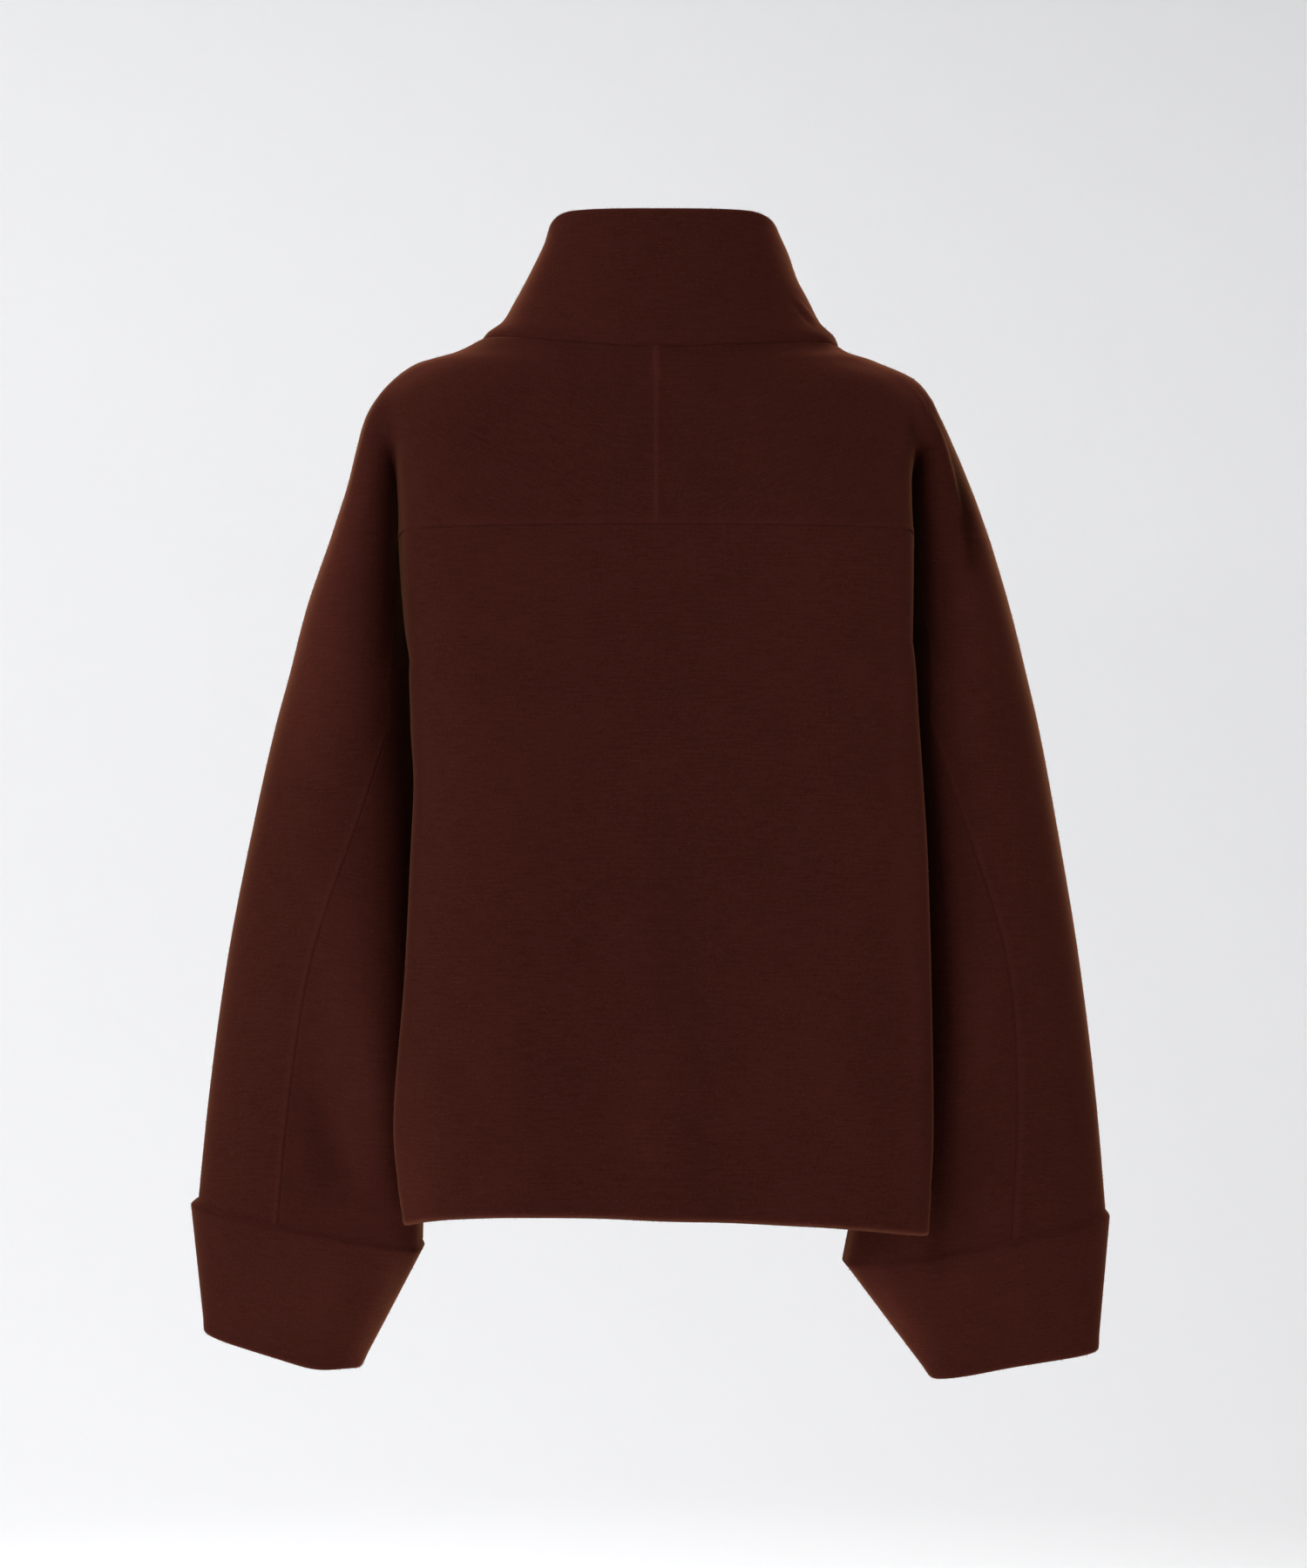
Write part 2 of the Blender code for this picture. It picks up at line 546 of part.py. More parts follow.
def pool_normals(pieces):
    """Face normals round each point, weighed by angle, shared by all the pieces that meet there."""
    pool = {}
    for points, triangles in pieces:
        for corners in triangles:
            for k in range(3):
                here, ahead, behind = (points[corners[(k + turn) % 3]] for turn in range(3))
                first, second = unit(ahead - here), unit(behind - here)
                normal = unit(np.cross(first, second)) * np.arccos(np.clip(first @ second, -1, 1))
                pool[place_key(here)] = pool.get(place_key(here), 0) + normal
    return pool


def rim(triangles):
    edges = {}
    for a, b, c in triangles:
        for pair in ((a, b), (b, c), (c, a)):
            edges[pair] = True
    return [pair for pair in edges if pair[::-1] not in edges]


def build_wall(name, points, triangles, normals, wall):
    """Closed wall: the outer points, drawn back from the seams, and an inner copy one wall further in."""
    normals = np.array([unit(normal) for normal in normals])
    edges = rim(triangles)
    inward = {}
    for a, b in edges:
        along = unit(points[b] - points[a])
        for end in (a, b):
            inward.setdefault(end, []).append(unit(np.cross(normals[end], along)))
    outer = points.copy()
    for end, ways in inward.items():
        total = sum(ways)
        outer[end] += SEAM_GAP / 2 * total / max(1 + ways[0] @ ways[-1], MITRE_LIMIT)
    inner = outer - wall * normals
    count = len(points)
    faces = [tuple(corners) for corners in triangles]
    faces += [tuple(count + corner for corner in corners[::-1]) for corners in triangles]
    for a, b in edges:
        if tuple(points[a]) > tuple(points[b]):
            faces += [(b, a, count + a), (b, count + a, count + b)]
        else:
            faces += [(b, a, count + b), (a, count + a, count + b)]
    corners = [[int(corner) for corner in face] for face in faces]
    mesh = bpy.data.meshes.new(name)
    mesh.from_pydata(np.concatenate([outer, inner]).tolist(), [], corners)
    mesh.shade_smooth()
    mesh.set_sharp_from_angle(angle=SHARP_ANGLE)
    piece = bpy.data.objects.new(name, mesh)
    bpy.context.scene.collection.objects.link(piece)
    mesh.materials.append(wool(name))


def wool(name):
    material = bpy.data.materials.new(f"wool_{name}")
    material.use_nodes = True
    shader = material.node_tree.nodes["Principled BSDF"]
    shader.inputs["Base Color"].default_value = WOOL
    shader.inputs["Roughness"].default_value = NAP_ROUGHNESS
    shader.inputs["Metallic"].default_value = 0.0
    return material


def main():
    for item in list(bpy.data.objects):
        bpy.data.objects.remove(item)
    body = {"back": weld(back("left") + back("right"), [False, False, True, True])}
    for side in SIDES:
        mirrored = side == "right"
        body[f"yoke_{side}"] = weld(yoke(side), [mirrored] * 2)
        body[f"front_{side}"] = weld(front(side), [mirrored] * 2)
        body[f"cuff_{side}"] = weld(cuff(side), [mirrored])
    pool = pool_normals(body.values())
    for side in SIDES:
        underarm = body_points(side, "back", UNDERARM_DOWN, np.pi / 2)
        pool[place_key(underarm)] = np.array([0.0, 0.0, -1.0])
    for name, (points, triangles) in body.items():
        normals = [pool[place_key(point)] for point in points]
        build_wall(name, points, triangles, normals, DOUBLE_WALL if "cuff" in name else WALL)
    rings = collar()
    points, triangles = weld(rings, [False])
    own = pool_normals([(points, triangles)])
    normals = np.array([own[place_key(point)] for point in points])
    seam_points = rings[0].shape[1]
    normals[-seam_points:, 2] = 0.0
    build_wall("collar", points, triangles, normals, DOUBLE_WALL)


main()
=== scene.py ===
import bpy
import numpy as np
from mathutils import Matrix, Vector


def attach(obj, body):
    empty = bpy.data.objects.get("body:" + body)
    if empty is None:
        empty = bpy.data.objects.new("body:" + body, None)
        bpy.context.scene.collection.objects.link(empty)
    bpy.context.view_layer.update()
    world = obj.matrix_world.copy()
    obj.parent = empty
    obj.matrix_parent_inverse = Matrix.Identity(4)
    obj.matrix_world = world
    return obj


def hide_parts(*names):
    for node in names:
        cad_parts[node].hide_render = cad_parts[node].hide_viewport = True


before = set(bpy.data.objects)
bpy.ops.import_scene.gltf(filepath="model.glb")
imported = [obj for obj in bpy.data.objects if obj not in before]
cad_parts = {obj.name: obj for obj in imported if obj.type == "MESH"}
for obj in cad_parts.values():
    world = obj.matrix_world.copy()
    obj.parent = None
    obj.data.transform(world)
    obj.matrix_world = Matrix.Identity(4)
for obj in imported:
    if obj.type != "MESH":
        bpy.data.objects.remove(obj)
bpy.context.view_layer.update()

print("short coat: the cut")

# Metres: x to the wearer's left, y to the back, z up; "down" is below the back neck seam
sides = {"Left": 1.0, "Right": -1.0}
faces = ("back", "front")
rightAngle = np.pi / 2
fineSteps = 240           # points on a curve before they are shared out
spreadSteps = 2001
weldDigits = 6            # decimals at which points count as one
sameSpot = 1e-5
noLength, noArea = 1e-12, 1e-14
farOff = 1.0              # distance of points that a seam doesn't reach

cut = {
    "yokeDownCentre": 0.130,
    "yokeDownSide": 0.137,
    "underarmDown": 0.270,
    "lap": 0.035,             # each front past the centre front
    "lapStep": 0.0048,        # the left front lies this far inside
    "lapEase": 0.030,
    "bodyPower": {"back": 5.0, "front": 3.2},     # squareness of the sections
    "tuckPower": {"back": 2.0, "front": 1.0},
    "sleevePower": 2.2,
    "crestShare": 0.47,
    "turnShare": 0.72,        # where the body turns into its armhole folds
    "turnLimit": 0.92,
    "foldEase": 0.20,
    "cornerRounds": 4,        # how often a section's reach is corrected
}


def table(columns, *rows):
    return dict(zip(columns.split(), np.array(rows, dtype=float).T))


def named(columns, **rows):
    return {name: dict(zip(columns.split(), row)) for name, row in rows.items()}


# The armhole folds on the shoulder: shares where they begin and reach their depth, how much further out
# they begin and how that fades
valleys = named("start full spread bend", Left=(0.45, 1.00, 0.019, 1.0), Right=(0.55, 0.85, 0.034, 2.0))

# Rings from the neck seam to the yoke seam
cap = table(
    "share downLeft downRight down_back down_front halfLeft halfRight midY y_back y_front power",
    (0.00, -0.0136, -0.0078, 0.000, 0.057, 0.1288, 0.1352, 0.000, 0.0850, -0.105, 2.20),
    (0.10, -0.0028, -0.0028, 0.008, 0.061, 0.1515, 0.1440, -0.002, 0.0885, -0.107, 2.25),
    (0.17, 0.0022, 0.0022, 0.013, 0.064, 0.1697, 0.1600, -0.003, 0.0908, -0.108, 2.28),
    (0.22, 0.0050, 0.0050, 0.018, 0.066, 0.1787, 0.1671, -0.004, 0.0925, -0.109, 2.30),
    (0.36, 0.0179, 0.0179, 0.034, 0.074, 0.1962, 0.1936, -0.006, 0.0980, -0.112, 2.40),
    (0.52, 0.0437, 0.0437, 0.058, 0.088, 0.2149, 0.2110, -0.010, 0.1050, -0.117, 2.50),
    (0.68, 0.0695, 0.0695, 0.080, 0.102, 0.2226, 0.2233, -0.013, 0.1100, -0.121, 2.60),
    (0.84, 0.1008, 0.1008, 0.104, 0.119, 0.2305, 0.2350, -0.016, 0.1145, -0.125, 2.70),
    (1.00, 0.1370, 0.1370, 0.130, 0.137, 0.2417, 0.2475, -0.020, 0.1180, -0.129, 2.80),
)

# Rings from the neck seam to the collar's top edge
funnel = table(
    "share downLeft downRight down_back down_front halfLeft halfRight midY y_back y_front power level",
    (0.00, -0.0136, -0.0078, 0.000, 0.057, 0.1288, 0.1352, 0.000, 0.0850, -0.105, 2.20, 0.00),
    (0.08, -0.0180, -0.0145, -0.007, 0.050, 0.1252, 0.1325, 0.000, 0.0853, -0.106, 2.20, 0.00),
    (0.19, -0.0265, -0.0255, -0.019, 0.037, 0.1140, 0.1217, -0.002, 0.0822, -0.103, 2.25, 0.00),
    (0.36, -0.0415, -0.0415, -0.036, 0.017, 0.1052, 0.1136, -0.005, 0.0765, -0.099, 2.30, 0.05),
    (0.53, -0.0570, -0.0570, -0.053, -0.003, 0.0968, 0.1058, -0.008, 0.0708, -0.095, 2.50, 0.15),
    (0.78, -0.0802, -0.0802, -0.079, -0.032, 0.0852, 0.0974, -0.011, 0.0626, -0.089, 2.75, 0.35),
    (1.00, -0.0935, -0.0935, -0.1034, -0.059, 0.0790, 0.0890, -0.014, 0.0560, -0.084, 3.20, 0.50),
)

# Sections of the body; above the underarm its back and front end in the armhole folds
body = table(
    "down y_back y_front backLeft backRight frontLeft frontRight foldLeft foldRight foldY_back foldY_front",
    (0.130, 0.1180, -0.1290, 0.1810, 0.1845, 0.174, 0.177, 0.1885, 0.1880, 0.038, -0.072),
    (0.165, 0.1190, -0.1315, 0.1808, 0.1850, 0.174, 0.177, 0.1870, 0.1878, 0.030, -0.066),
    (0.205, 0.1195, -0.1335, 0.1797, 0.1858, 0.174, 0.176, 0.1840, 0.1870, 0.018, -0.056),
    (0.240, 0.1197, -0.1350, 0.1785, 0.1878, 0.173, 0.175, 0.1758, 0.1785, 0.007, -0.047),
    (0.270, 0.1198, -0.1360, 0.1780, 0.1900, 0.172, 0.174, 0.1720, 0.1730, -0.020, -0.020),
    (0.315, 0.1200, -0.1370, 0.1755, 0.1927, 0.170, 0.173, 0.1660, 0.1640, -0.020, -0.020),
    (0.360, 0.1202, -0.1375, 0.1772, 0.1953, 0.169, 0.172, 0.1625, 0.1570, -0.019, -0.019),
    (0.450, 0.1205, -0.1380, 0.1813, 0.1979, 0.168, 0.168, 0.1580, 0.1470, -0.017, -0.017),
    (0.560, 0.1205, -0.1380, 0.1882, 0.1993, 0.168, 0.159, 0.1532, 0.1330, -0.0135, -0.0135),
    (0.640, 0.1200, -0.1370, 0.1800, 0.1950, 0.166, 0.151, 0.1500, 0.1220, -0.012, -0.012),
)

# Sections of the sleeve by the depth of its outer edge; lean is how much lower its inner edge lies, opening
# and power say how straight and how square its back comes out of the armhole fold
arm = table(
    "down outerLeft outerRight innerLeft innerRight innerY midY y_back y_front",
    (0.137, 0.2417, 0.2475, 0.1720, 0.1730, -0.020, -0.014, 0.0780, -0.100),
    (0.1845, 0.2585, 0.2618, 0.1720, 0.1730, -0.020, -0.015, 0.0810, -0.106),
    (0.2365, 0.2725, 0.2752, 0.1720, 0.1730, -0.020, -0.018, 0.0820, -0.111),
    (0.270, 0.2820, 0.2834, 0.1720, 0.1730, -0.020, -0.020, 0.0810, -0.114),
    (0.3408, 0.2988, 0.2974, 0.1724, 0.1760, -0.022, -0.025, 0.0750, -0.118),
    (0.4457, 0.3203, 0.3160, 0.1730, 0.1720, -0.027, -0.033, 0.0620, -0.121),
    (0.5509, 0.3357, 0.3300, 0.1742, 0.1570, -0.034, -0.041, 0.0450, -0.119),
    (0.640, 0.3455, 0.3385, 0.1757, 0.1385, -0.040, -0.046, 0.0290, -0.114),
)
armTurn = table(
    "down leanLeft leanRight openingLeft openingRight frontOpening powerLeft powerRight seam",
    (0.137, 0.000, 0.000, 0.25, 0.60, 0.60, 2.6, 2.2, 0.00),
    (0.1845, 0.000, 0.000, 0.30, 0.66, 0.66, 2.6, 2.2, 0.13),
    (0.2365, 0.000, 0.000, 0.46, 0.76, 0.76, 2.8, 2.2, 0.27),
    (0.270, 0.000, 0.000, 0.50, 0.80, 0.78, 3.0, 2.2, 0.34),
    (0.3408, 0.005, 0.006, 0.22, 0.74, 0.55, 3.3, 2.2, 0.43),
    (0.4457, 0.013, 0.015, 0.05, 0.58, 0.30, 3.8, 2.4, 0.53),
    (0.5509, 0.023, 0.026, 0.00, 0.25, 0.20, 4.6, 3.0, 0.57),
    (0.640, 0.033, 0.039, 0.00, 0.05, 0.15, 5.0, 3.8, 0.59),
)

hemLine = table("x down", (-0.20, 0.6395), (-0.18, 0.6358), (-0.15, 0.6315), (-0.12, 0.6290),
                (-0.09, 0.6275), (-0.03, 0.6246), (0.00, 0.6240), (0.045, 0.6224), (0.094, 0.6214),
                (0.14, 0.6236), (0.165, 0.6272), (0.18, 0.6318))

# Soft hanging folds of the lower back and fronts
hangingFolds = {
    "back": table("x width depth top", (-0.152, 0.024, 0.0030, 0.36), (-0.070, 0.034, -0.0026, 0.34),
                  (-0.020, 0.022, 0.0024, 0.38), (0.040, 0.030, -0.0030, 0.36), (0.095, 0.026, 0.0034, 0.33)),
    "front": table("x width depth top", (-0.130, 0.030, 0.0034, 0.34), (-0.075, 0.026, -0.0030, 0.38),
                   (0.085, 0.028, -0.0030, 0.36), (0.135, 0.030, 0.0036, 0.33)),
}

# Rows and columns of the cloth: how many, how much closer they lie at the start and at the end, and over
# what share
mesh = named(
    "count start end reach",
    capRows=(70, 3.0, 8.0, 0.03),
    armholeRows=(46, 8.0, 0.0, 0.03),
    bodyRows=(104, 0.0, 14.0, 0.012),
    sleeveRows=(116, 0.0, 8.0, 0.012),
    cuffRows=(64, 6.0, 9.0, 0.04),
    collarRows=(64, 4.0, 9.0, 0.03),
    backColumns=(66, 4.0, 1.5, 0.02),
    frontColumns=(56, 0.0, 1.5, 0.02),
    lapColumns=(14, 0.0, 6.0, 0.05),
    sleeveColumns=(46, 9.0, 0.0, 0.02),
    wingColumns=(34, 2.0, 7.0, 0.03),
)


def smooth(stations, values, places):
    # cubic through a table's values that doesn't swing past them
    width = np.diff(stations)
    slope = np.diff(values) / width
    sameWay = slope[:-1] * slope[1:] > 0
    total = np.where(sameWay, slope[:-1] + slope[1:], 1.0)
    inside = np.where(sameWay, 2 * slope[:-1] * slope[1:] / total, 0.0)
    tangent = np.concatenate([slope[:1], inside, slope[-1:]])
    places = np.clip(places, stations[0], stations[-1])
    k = np.clip(np.searchsorted(stations, places, side="right") - 1, 0, len(width) - 1)
    t = (places - stations[k]) / width[k]
    hold = (1 + 2 * t) * (1 - t) ** 2 * values[k] + t * t * (3 - 2 * t) * values[k + 1]
    return hold + width[k] * t * (1 - t) * ((1 - t) * tangent[k] - t * tangent[k + 1])


def at(rows, name, place):
    stations = rows["down"] if "down" in rows else rows["share"]
    return smooth(stations, rows[name], np.asarray(place, dtype=float))


def ease(value):
    value = np.clip(value, 0.0, 1.0)
    return value * value * (3 - 2 * value)


def spread(count, start, end, reach):
    # places from 0 to 1 that crowd towards the start or the end
    fine = np.linspace(0, 1, spreadSteps)
    density = 1 + start * np.exp(-fine / reach) + end * np.exp((fine - 1) / reach)
    measure = np.concatenate([[0.0], np.cumsum((density[1:] + density[:-1]) / 2)])
    return np.interp(np.linspace(0, measure[-1], count + 1), measure, fine)


def quarter(angle, power):
    # a quarter of a rounded square, from the middle of a face to the side
    across = np.sin(angle)
    along = np.cos(angle).clip(0.0)
    reach = (across ** power + along ** power) ** (-1 / power)
    return across * reach, along * reach


def evenAngles(shares, power):
    fine = np.linspace(0, rightAngle, fineSteps)
    step = np.diff(np.stack(quarter(fine, power)))
    heading = np.unwrap(np.arctan2(step[1], step[0]))
    turning = np.abs(np.gradient(heading))
    length = np.hypot(step[0], step[1])
    measure = np.concatenate([[0.0], np.cumsum(length / length.sum() + turning / turning.sum())])
    return np.interp(shares * measure[-1], measure, fine)


def lengths(points):
    steps = np.linalg.norm(np.diff(points, axis=0), axis=1)
    return np.concatenate([[0.0], np.cumsum(steps)])


def pick(points, distances, places):
    return np.stack([np.interp(places, distances, points[:, k]) for k in range(points.shape[1])], axis=-1)


capShares = spread(**mesh["capRows"])
armholeShares = spread(**mesh["armholeRows"])
bodyShares = spread(**mesh["bodyRows"])
sleeveShares = spread(**mesh["sleeveRows"])
wingShares = spread(**mesh["wingColumns"])
upperShares = spread(**mesh["sleeveColumns"])
lapShares = spread(**mesh["lapColumns"])
backAngles = evenAngles(spread(**mesh["backColumns"]), cut["bodyPower"]["back"])
lapAngles = np.arctan(cut["lap"] * lapShares / body["frontLeft"][0])
besideLap = evenAngles(spread(**mesh["frontColumns"]), cut["bodyPower"]["front"])[1:]
frontAngles = np.concatenate([lapAngles, lapAngles[-1] + besideLap * (1 - lapAngles[-1] / rightAngle)])
capCount, joinedCount, backCount, lapCount = (
    mesh[name]["count"] for name in ("capRows", "armholeRows", "backColumns", "lapColumns"))


def cornerReach(face, corner, foldX):
    # reach of the section whose tucked side still comes out to the corner
    across, along = quarter(np.linspace(0, rightAngle, fineSteps), cut["bodyPower"][face])
    tuck = ease(1 - along) ** cut["tuckPower"][face]
    corner = np.asarray(corner)[..., None]
    foldX = np.minimum(np.asarray(foldX)[..., None], corner)
    reach = corner
    for _ in range(cut["cornerRounds"]):
        reach = reach + corner - np.max(reach * (across - tuck) + foldX * tuck, axis=-1, keepdims=True)
    return reach[..., 0]


def bodyPoints(side, face, down, angle):
    across, along = quarter(angle, cut["bodyPower"][face])
    foldX = at(body, f"fold{side}", down)
    foldY = at(body, f"foldY_{face}", down)
    faceY = at(body, f"y_{face}", down)
    tuck = ease(1 - along) ** cut["tuckPower"][face]
    reach = cornerReach(face, at(body, f"{face}{side}", down), foldX)
    x = sides[side] * (reach * (across - tuck) + foldX * tuck)
    y = foldY + (faceY - foldY) * along
    outward = np.sign(body[f"y_{face}"][0])
    folds = hangingFolds[face]
    for place, width, depth, top in zip(folds["x"], folds["width"], folds["depth"], folds["top"]):
        bump = np.exp(-((x - place) / width) ** 2) * along
        y = y + outward * depth * bump * ease((down - top) / cut["foldEase"])
    return np.stack([x, y, -down + 0 * x], axis=-1)


def hemDown(side, face, angle):
    level = bodyPoints(side, face, np.full_like(angle, body["down"][-1]), angle)
    return smooth(hemLine["x"], hemLine["down"], level[:, 0])


def sleeveSection(side, down):
    section = {
        "down": down, "lift": 0.0, "power_front": cut["sleevePower"],
        "lean": at(armTurn, f"lean{side}", down),
        "opening_back": at(armTurn, f"opening{side}", down),
        "opening_front": at(armTurn, "frontOpening", down),
        "power_back": at(armTurn, f"power{side}", down),
        "outer": at(arm, f"outer{side}", down),
        "inner": at(arm, f"inner{side}", down),
        "midY": at(arm, "midY", down),
    }
    for face in faces:
        section[face] = at(arm, f"y_{face}", down)
        section["innerY_" + face] = at(arm, "innerY", down)
        if down <= cut["underarmDown"]:
            section["inner"] = at(body, f"fold{side}", down)
            section["innerY_" + face] = at(body, f"foldY_{face}", down)
    return section


def tubeHalf(side, section, face, shares):
    # one face of a sleeve or cuff, from its inner edge (0) round to its outer edge (1)
    inner, outer = section["inner"], section["outer"]
    innerY, faceY, midY = section["innerY_" + face], section[face], section["midY"]
    crest = inner + cut["crestShare"] * (outer - inner)
    angle = np.linspace(0, rightAngle, fineSteps)
    across, along = quarter(angle, section["power_" + face])
    straight = angle / angle[-1]
    bowX = crest - (crest - inner) * along
    bowY = innerY + (faceY - innerY) * across
    lineX = inner + (crest - inner) * straight
    lineY = innerY + (faceY - innerY) * straight
    slack = section["opening_" + face] * (1 - straight)
    innerPart = np.stack([bowX + slack * (lineX - bowX), bowY + slack * (lineY - bowY)], axis=-1)
    across, along = quarter(angle, cut["sleevePower"])
    outerPart = np.stack([crest + (outer - crest) * across, midY + (faceY - midY) * along], axis=-1)
    path = np.concatenate([innerPart, outerPart[1:]])
    distance = lengths(path)
    x, y = pick(path, distance / distance[-1], shares).T
    share = (outer - x) / (outer - inner)
    lift = section["lift"] * np.sin(np.pi * share)
    return np.stack([sides[side] * x, y, -section["down"] - section["lean"] * share + lift], axis=-1)


def seamShare(section):
    return at(armTurn, "seam", section["down"])


def sleeveSections(side):
    yokeDown, underarm, cuffDown = cut["yokeDownSide"], cut["underarmDown"], cuffStyle["seamDown"][side]
    joined = yokeDown + (underarm - yokeDown) * armholeShares
    free = underarm + (cuffDown - underarm) * sleeveShares
    return [sleeveSection(side, down) for down in np.concatenate([joined, free[1:]])]


def wing(side, face):
    return np.array([tubeHalf(side, section, face, wingShares * seamShare(section))
                     for section in sleeveSections(side)])


def upperSleeve(side, sections, face):
    rows = []
    for section in sections:
        seam = seamShare(section)
        rows.append(tubeHalf(side, section, face, seam + (1 - seam) * upperShares))
    return np.array(rows)


def bodyHalf(side, face, angles):
    place = angles / angles[-1]
    top = cut["yokeDownSide"] + 0 * place
    if face == "back":
        top = cut["yokeDownCentre"] + (cut["yokeDownSide"] - cut["yokeDownCentre"]) * place ** 2
    bottom = hemDown(side, face, angles)
    underarm = cut["underarmDown"]
    upper = [top + (underarm - top) * t for t in armholeShares]
    lower = [underarm + (bottom - underarm) * t for t in bodyShares[1:]]
    return np.array([bodyPoints(side, face, down, angles) for down in upper + lower])


def ring(rows, side, share):
    angle = np.linspace(0, rightAngle, fineSteps)
    across, along = quarter(angle, at(rows, "power", share))
    half, midY = at(rows, f"half{side}", share), at(rows, "midY", share)
    curves = {}
    for face in faces:
        faceY = at(rows, f"y_{face}", share)
        curves[face] = np.stack([sides[side] * half * across, midY + (faceY - midY) * along], axis=-1)
    return curves


def ringPlaces(curve, places, lapPart):
    # the lap keeps its real width on every ring
    if lapPart is None:
        return places
    lapShare = cut["lap"] / lengths(curve)[-1]
    beyond = lapShare + (1 - lapShare) * (places - lapPart) / (1 - lapPart)
    return np.where(places < lapPart, places / lapPart * lapShare, beyond)


def onRing(curve, places):
    distance = lengths(curve)
    return pick(curve, distance, places * distance[-1])


def ringDown(rows, side, face, places, share):
    # the centre's height holds as far as level, then runs to the side's
    centre, edge = at(rows, f"down_{face}", share), at(rows, f"down{side}", share)
    level = at(rows, "level", share) if face == "back" and "level" in rows else 0.0
    run = np.clip((places - level) / (1 - level), 0.0, 1.0)
    return centre + (edge - centre) * np.sin(run * rightAngle) ** 2


def bridgeOver(points, first, last):
    bridge = points.copy()
    distance = lengths(points[first:last + 1])
    share = (distance / distance[-1])[:, None]
    bridge[first:last + 1] = points[first] + (points[last] - points[first]) * share
    return bridge


def steered(curve, places, turn, reach, valley, share):
    # moves the columns sideways so that the armhole fold runs on up the shoulder
    distance = lengths(curve)
    sideways = np.abs(curve[:, 0])
    aim = min(reach + valley["spread"] * (1 - share) ** valley["bend"], cut["turnLimit"] * sideways[-1])
    aimed = np.interp(aim, sideways, distance / distance[-1])
    moved = places[turn] + (aimed - places[turn]) * ease(share / valley["start"])
    return np.interp(places, [0.0, places[turn], 1.0], [0.0, moved, 1.0])


def shoulderRows(side):
    # from the neck seam to the yoke seam's level, over columns from the centre to the outer edge
    section = sleeveSection(side, cut["yokeDownSide"])
    angles = {"back": backAngles, "front": frontAngles}
    rows = {}
    for face in faces:
        trunk = bodyHalf(side, face, angles[face])[0]
        sleeve = upperSleeve(side, [section], face)[0]
        level = np.concatenate([trunk, sleeve[1:]])
        depth = (trunk[:, 1] - trunk[-1, 1]) / (trunk[0, 1] - trunk[-1, 1])
        turn = np.argmax(depth < cut["turnShare"])
        crest = len(trunk) - 1 + np.argmax(np.abs(sleeve[:, 1]))
        bridge = bridgeOver(level[:, :2], turn, crest)
        distance = lengths(bridge)
        places = distance / distance[-1]
        lapPart = places[lapCount] if face == "front" else None
        lastCurve = ring(cap, side, 1.0)[face]
        lastPlaces = ringPlaces(lastCurve, places, lapPart)
        lastFlat = onRing(lastCurve, lastPlaces)
        reach = np.abs(lastFlat[turn, 0])
        lastZ = -ringDown(cap, side, face, lastPlaces, 1.0)
        rows[face] = []
        for share in capShares:
            curve = ring(cap, side, share)[face]
            here = ringPlaces(curve, places, lapPart)
            here = steered(curve, here, turn, reach, valleys[side], share)
            flat = onRing(curve, here) + (bridge - lastFlat) * ease(share)
            begin, full = valleys[side]["start"], valleys[side]["full"]
            flat = flat + (level[:, :2] - bridge) * ease((share - begin) / (full - begin))
            z = -ringDown(cap, side, face, here, share) + (level[:, 2] - lastZ) * ease(share)
            rows[face].append(np.column_stack([flat, z]))
    return {face: np.array(points) for face, points in rows.items()}


def evened(rows, soften):
    # softens kinks narrower than the reach along each row; the outer rows and both ends stay
    share = np.linspace(0, 1, len(rows))
    hold = ease(share / soften["top"]) * ease((1 - share) / soften["bottom"])
    half = soften["half"]
    kernel = np.exp(-0.5 * (np.arange(-half, half + 1) / soften["points"]) ** 2)
    kernel /= kernel.sum()
    moved = rows.copy()
    for k, row in enumerate(rows):
        along = lengths(row)
        places = np.linspace(0, along[-1], int(along[-1] / soften["reach"] * soften["points"]))
        line = pick(row, along, places)
        padded = np.concatenate([2 * line[0] - line[half:0:-1], line, 2 * line[-1] - line[-2:-half - 2:-1]])
        soft = np.stack([np.convolve(padded[:, c], kernel, "valid") for c in range(3)], axis=-1)
        moved[k] += hold[k] * pick(soft - line, places, along)
    return moved


def tucked(points):
    # the left front and collar end step in under the right ones
    moved = points.copy()
    inward = ease((cut["lap"] + cut["lapEase"] - points[..., 0]) / cut["lapEase"])
    moved[..., 1] += cut["lapStep"] * inward * (points[..., 1] < 0)
    return moved


# Seams: groove depth and width at the seam line, then height, width and softness of the felled welt
# beside it, how much painted sheen lightens the welt and the kind of piece that it's on
seamStyle = named(
    "groove grooveWidth welt width soft tone on",
    centre=(0.0, 0.0005, 0.0004, 0.0018, 0.0005, 0.34, "yoke"),
    yoke=(0.0008, 0.0007, 0.00025, 0.0030, 0.0040, 0.09, "yoke"),
    shoulder=(0.0008, 0.0007, 0.0003, 0.0030, 0.0040, 0.09, "yoke"),
    sleeve=(0.0008, 0.0007, 0.00035, 0.0030, 0.0030, 0.14, "yoke"),
    neck=(0.0004, 0.0010, 0.0, 0.003, 0.003, 0.0, None),
    cuff=(0.0004, 0.0006, 0.0003, 0.003, 0.003, 0.14, "cuff"),
    side=(0.0008, 0.0007, 0.0004, 0.0030, 0.0026, 0.10, "back"),
    underarm=(0.0008, 0.0007, 0.0004, 0.0030, 0.0026, 0.10, "back"),
)
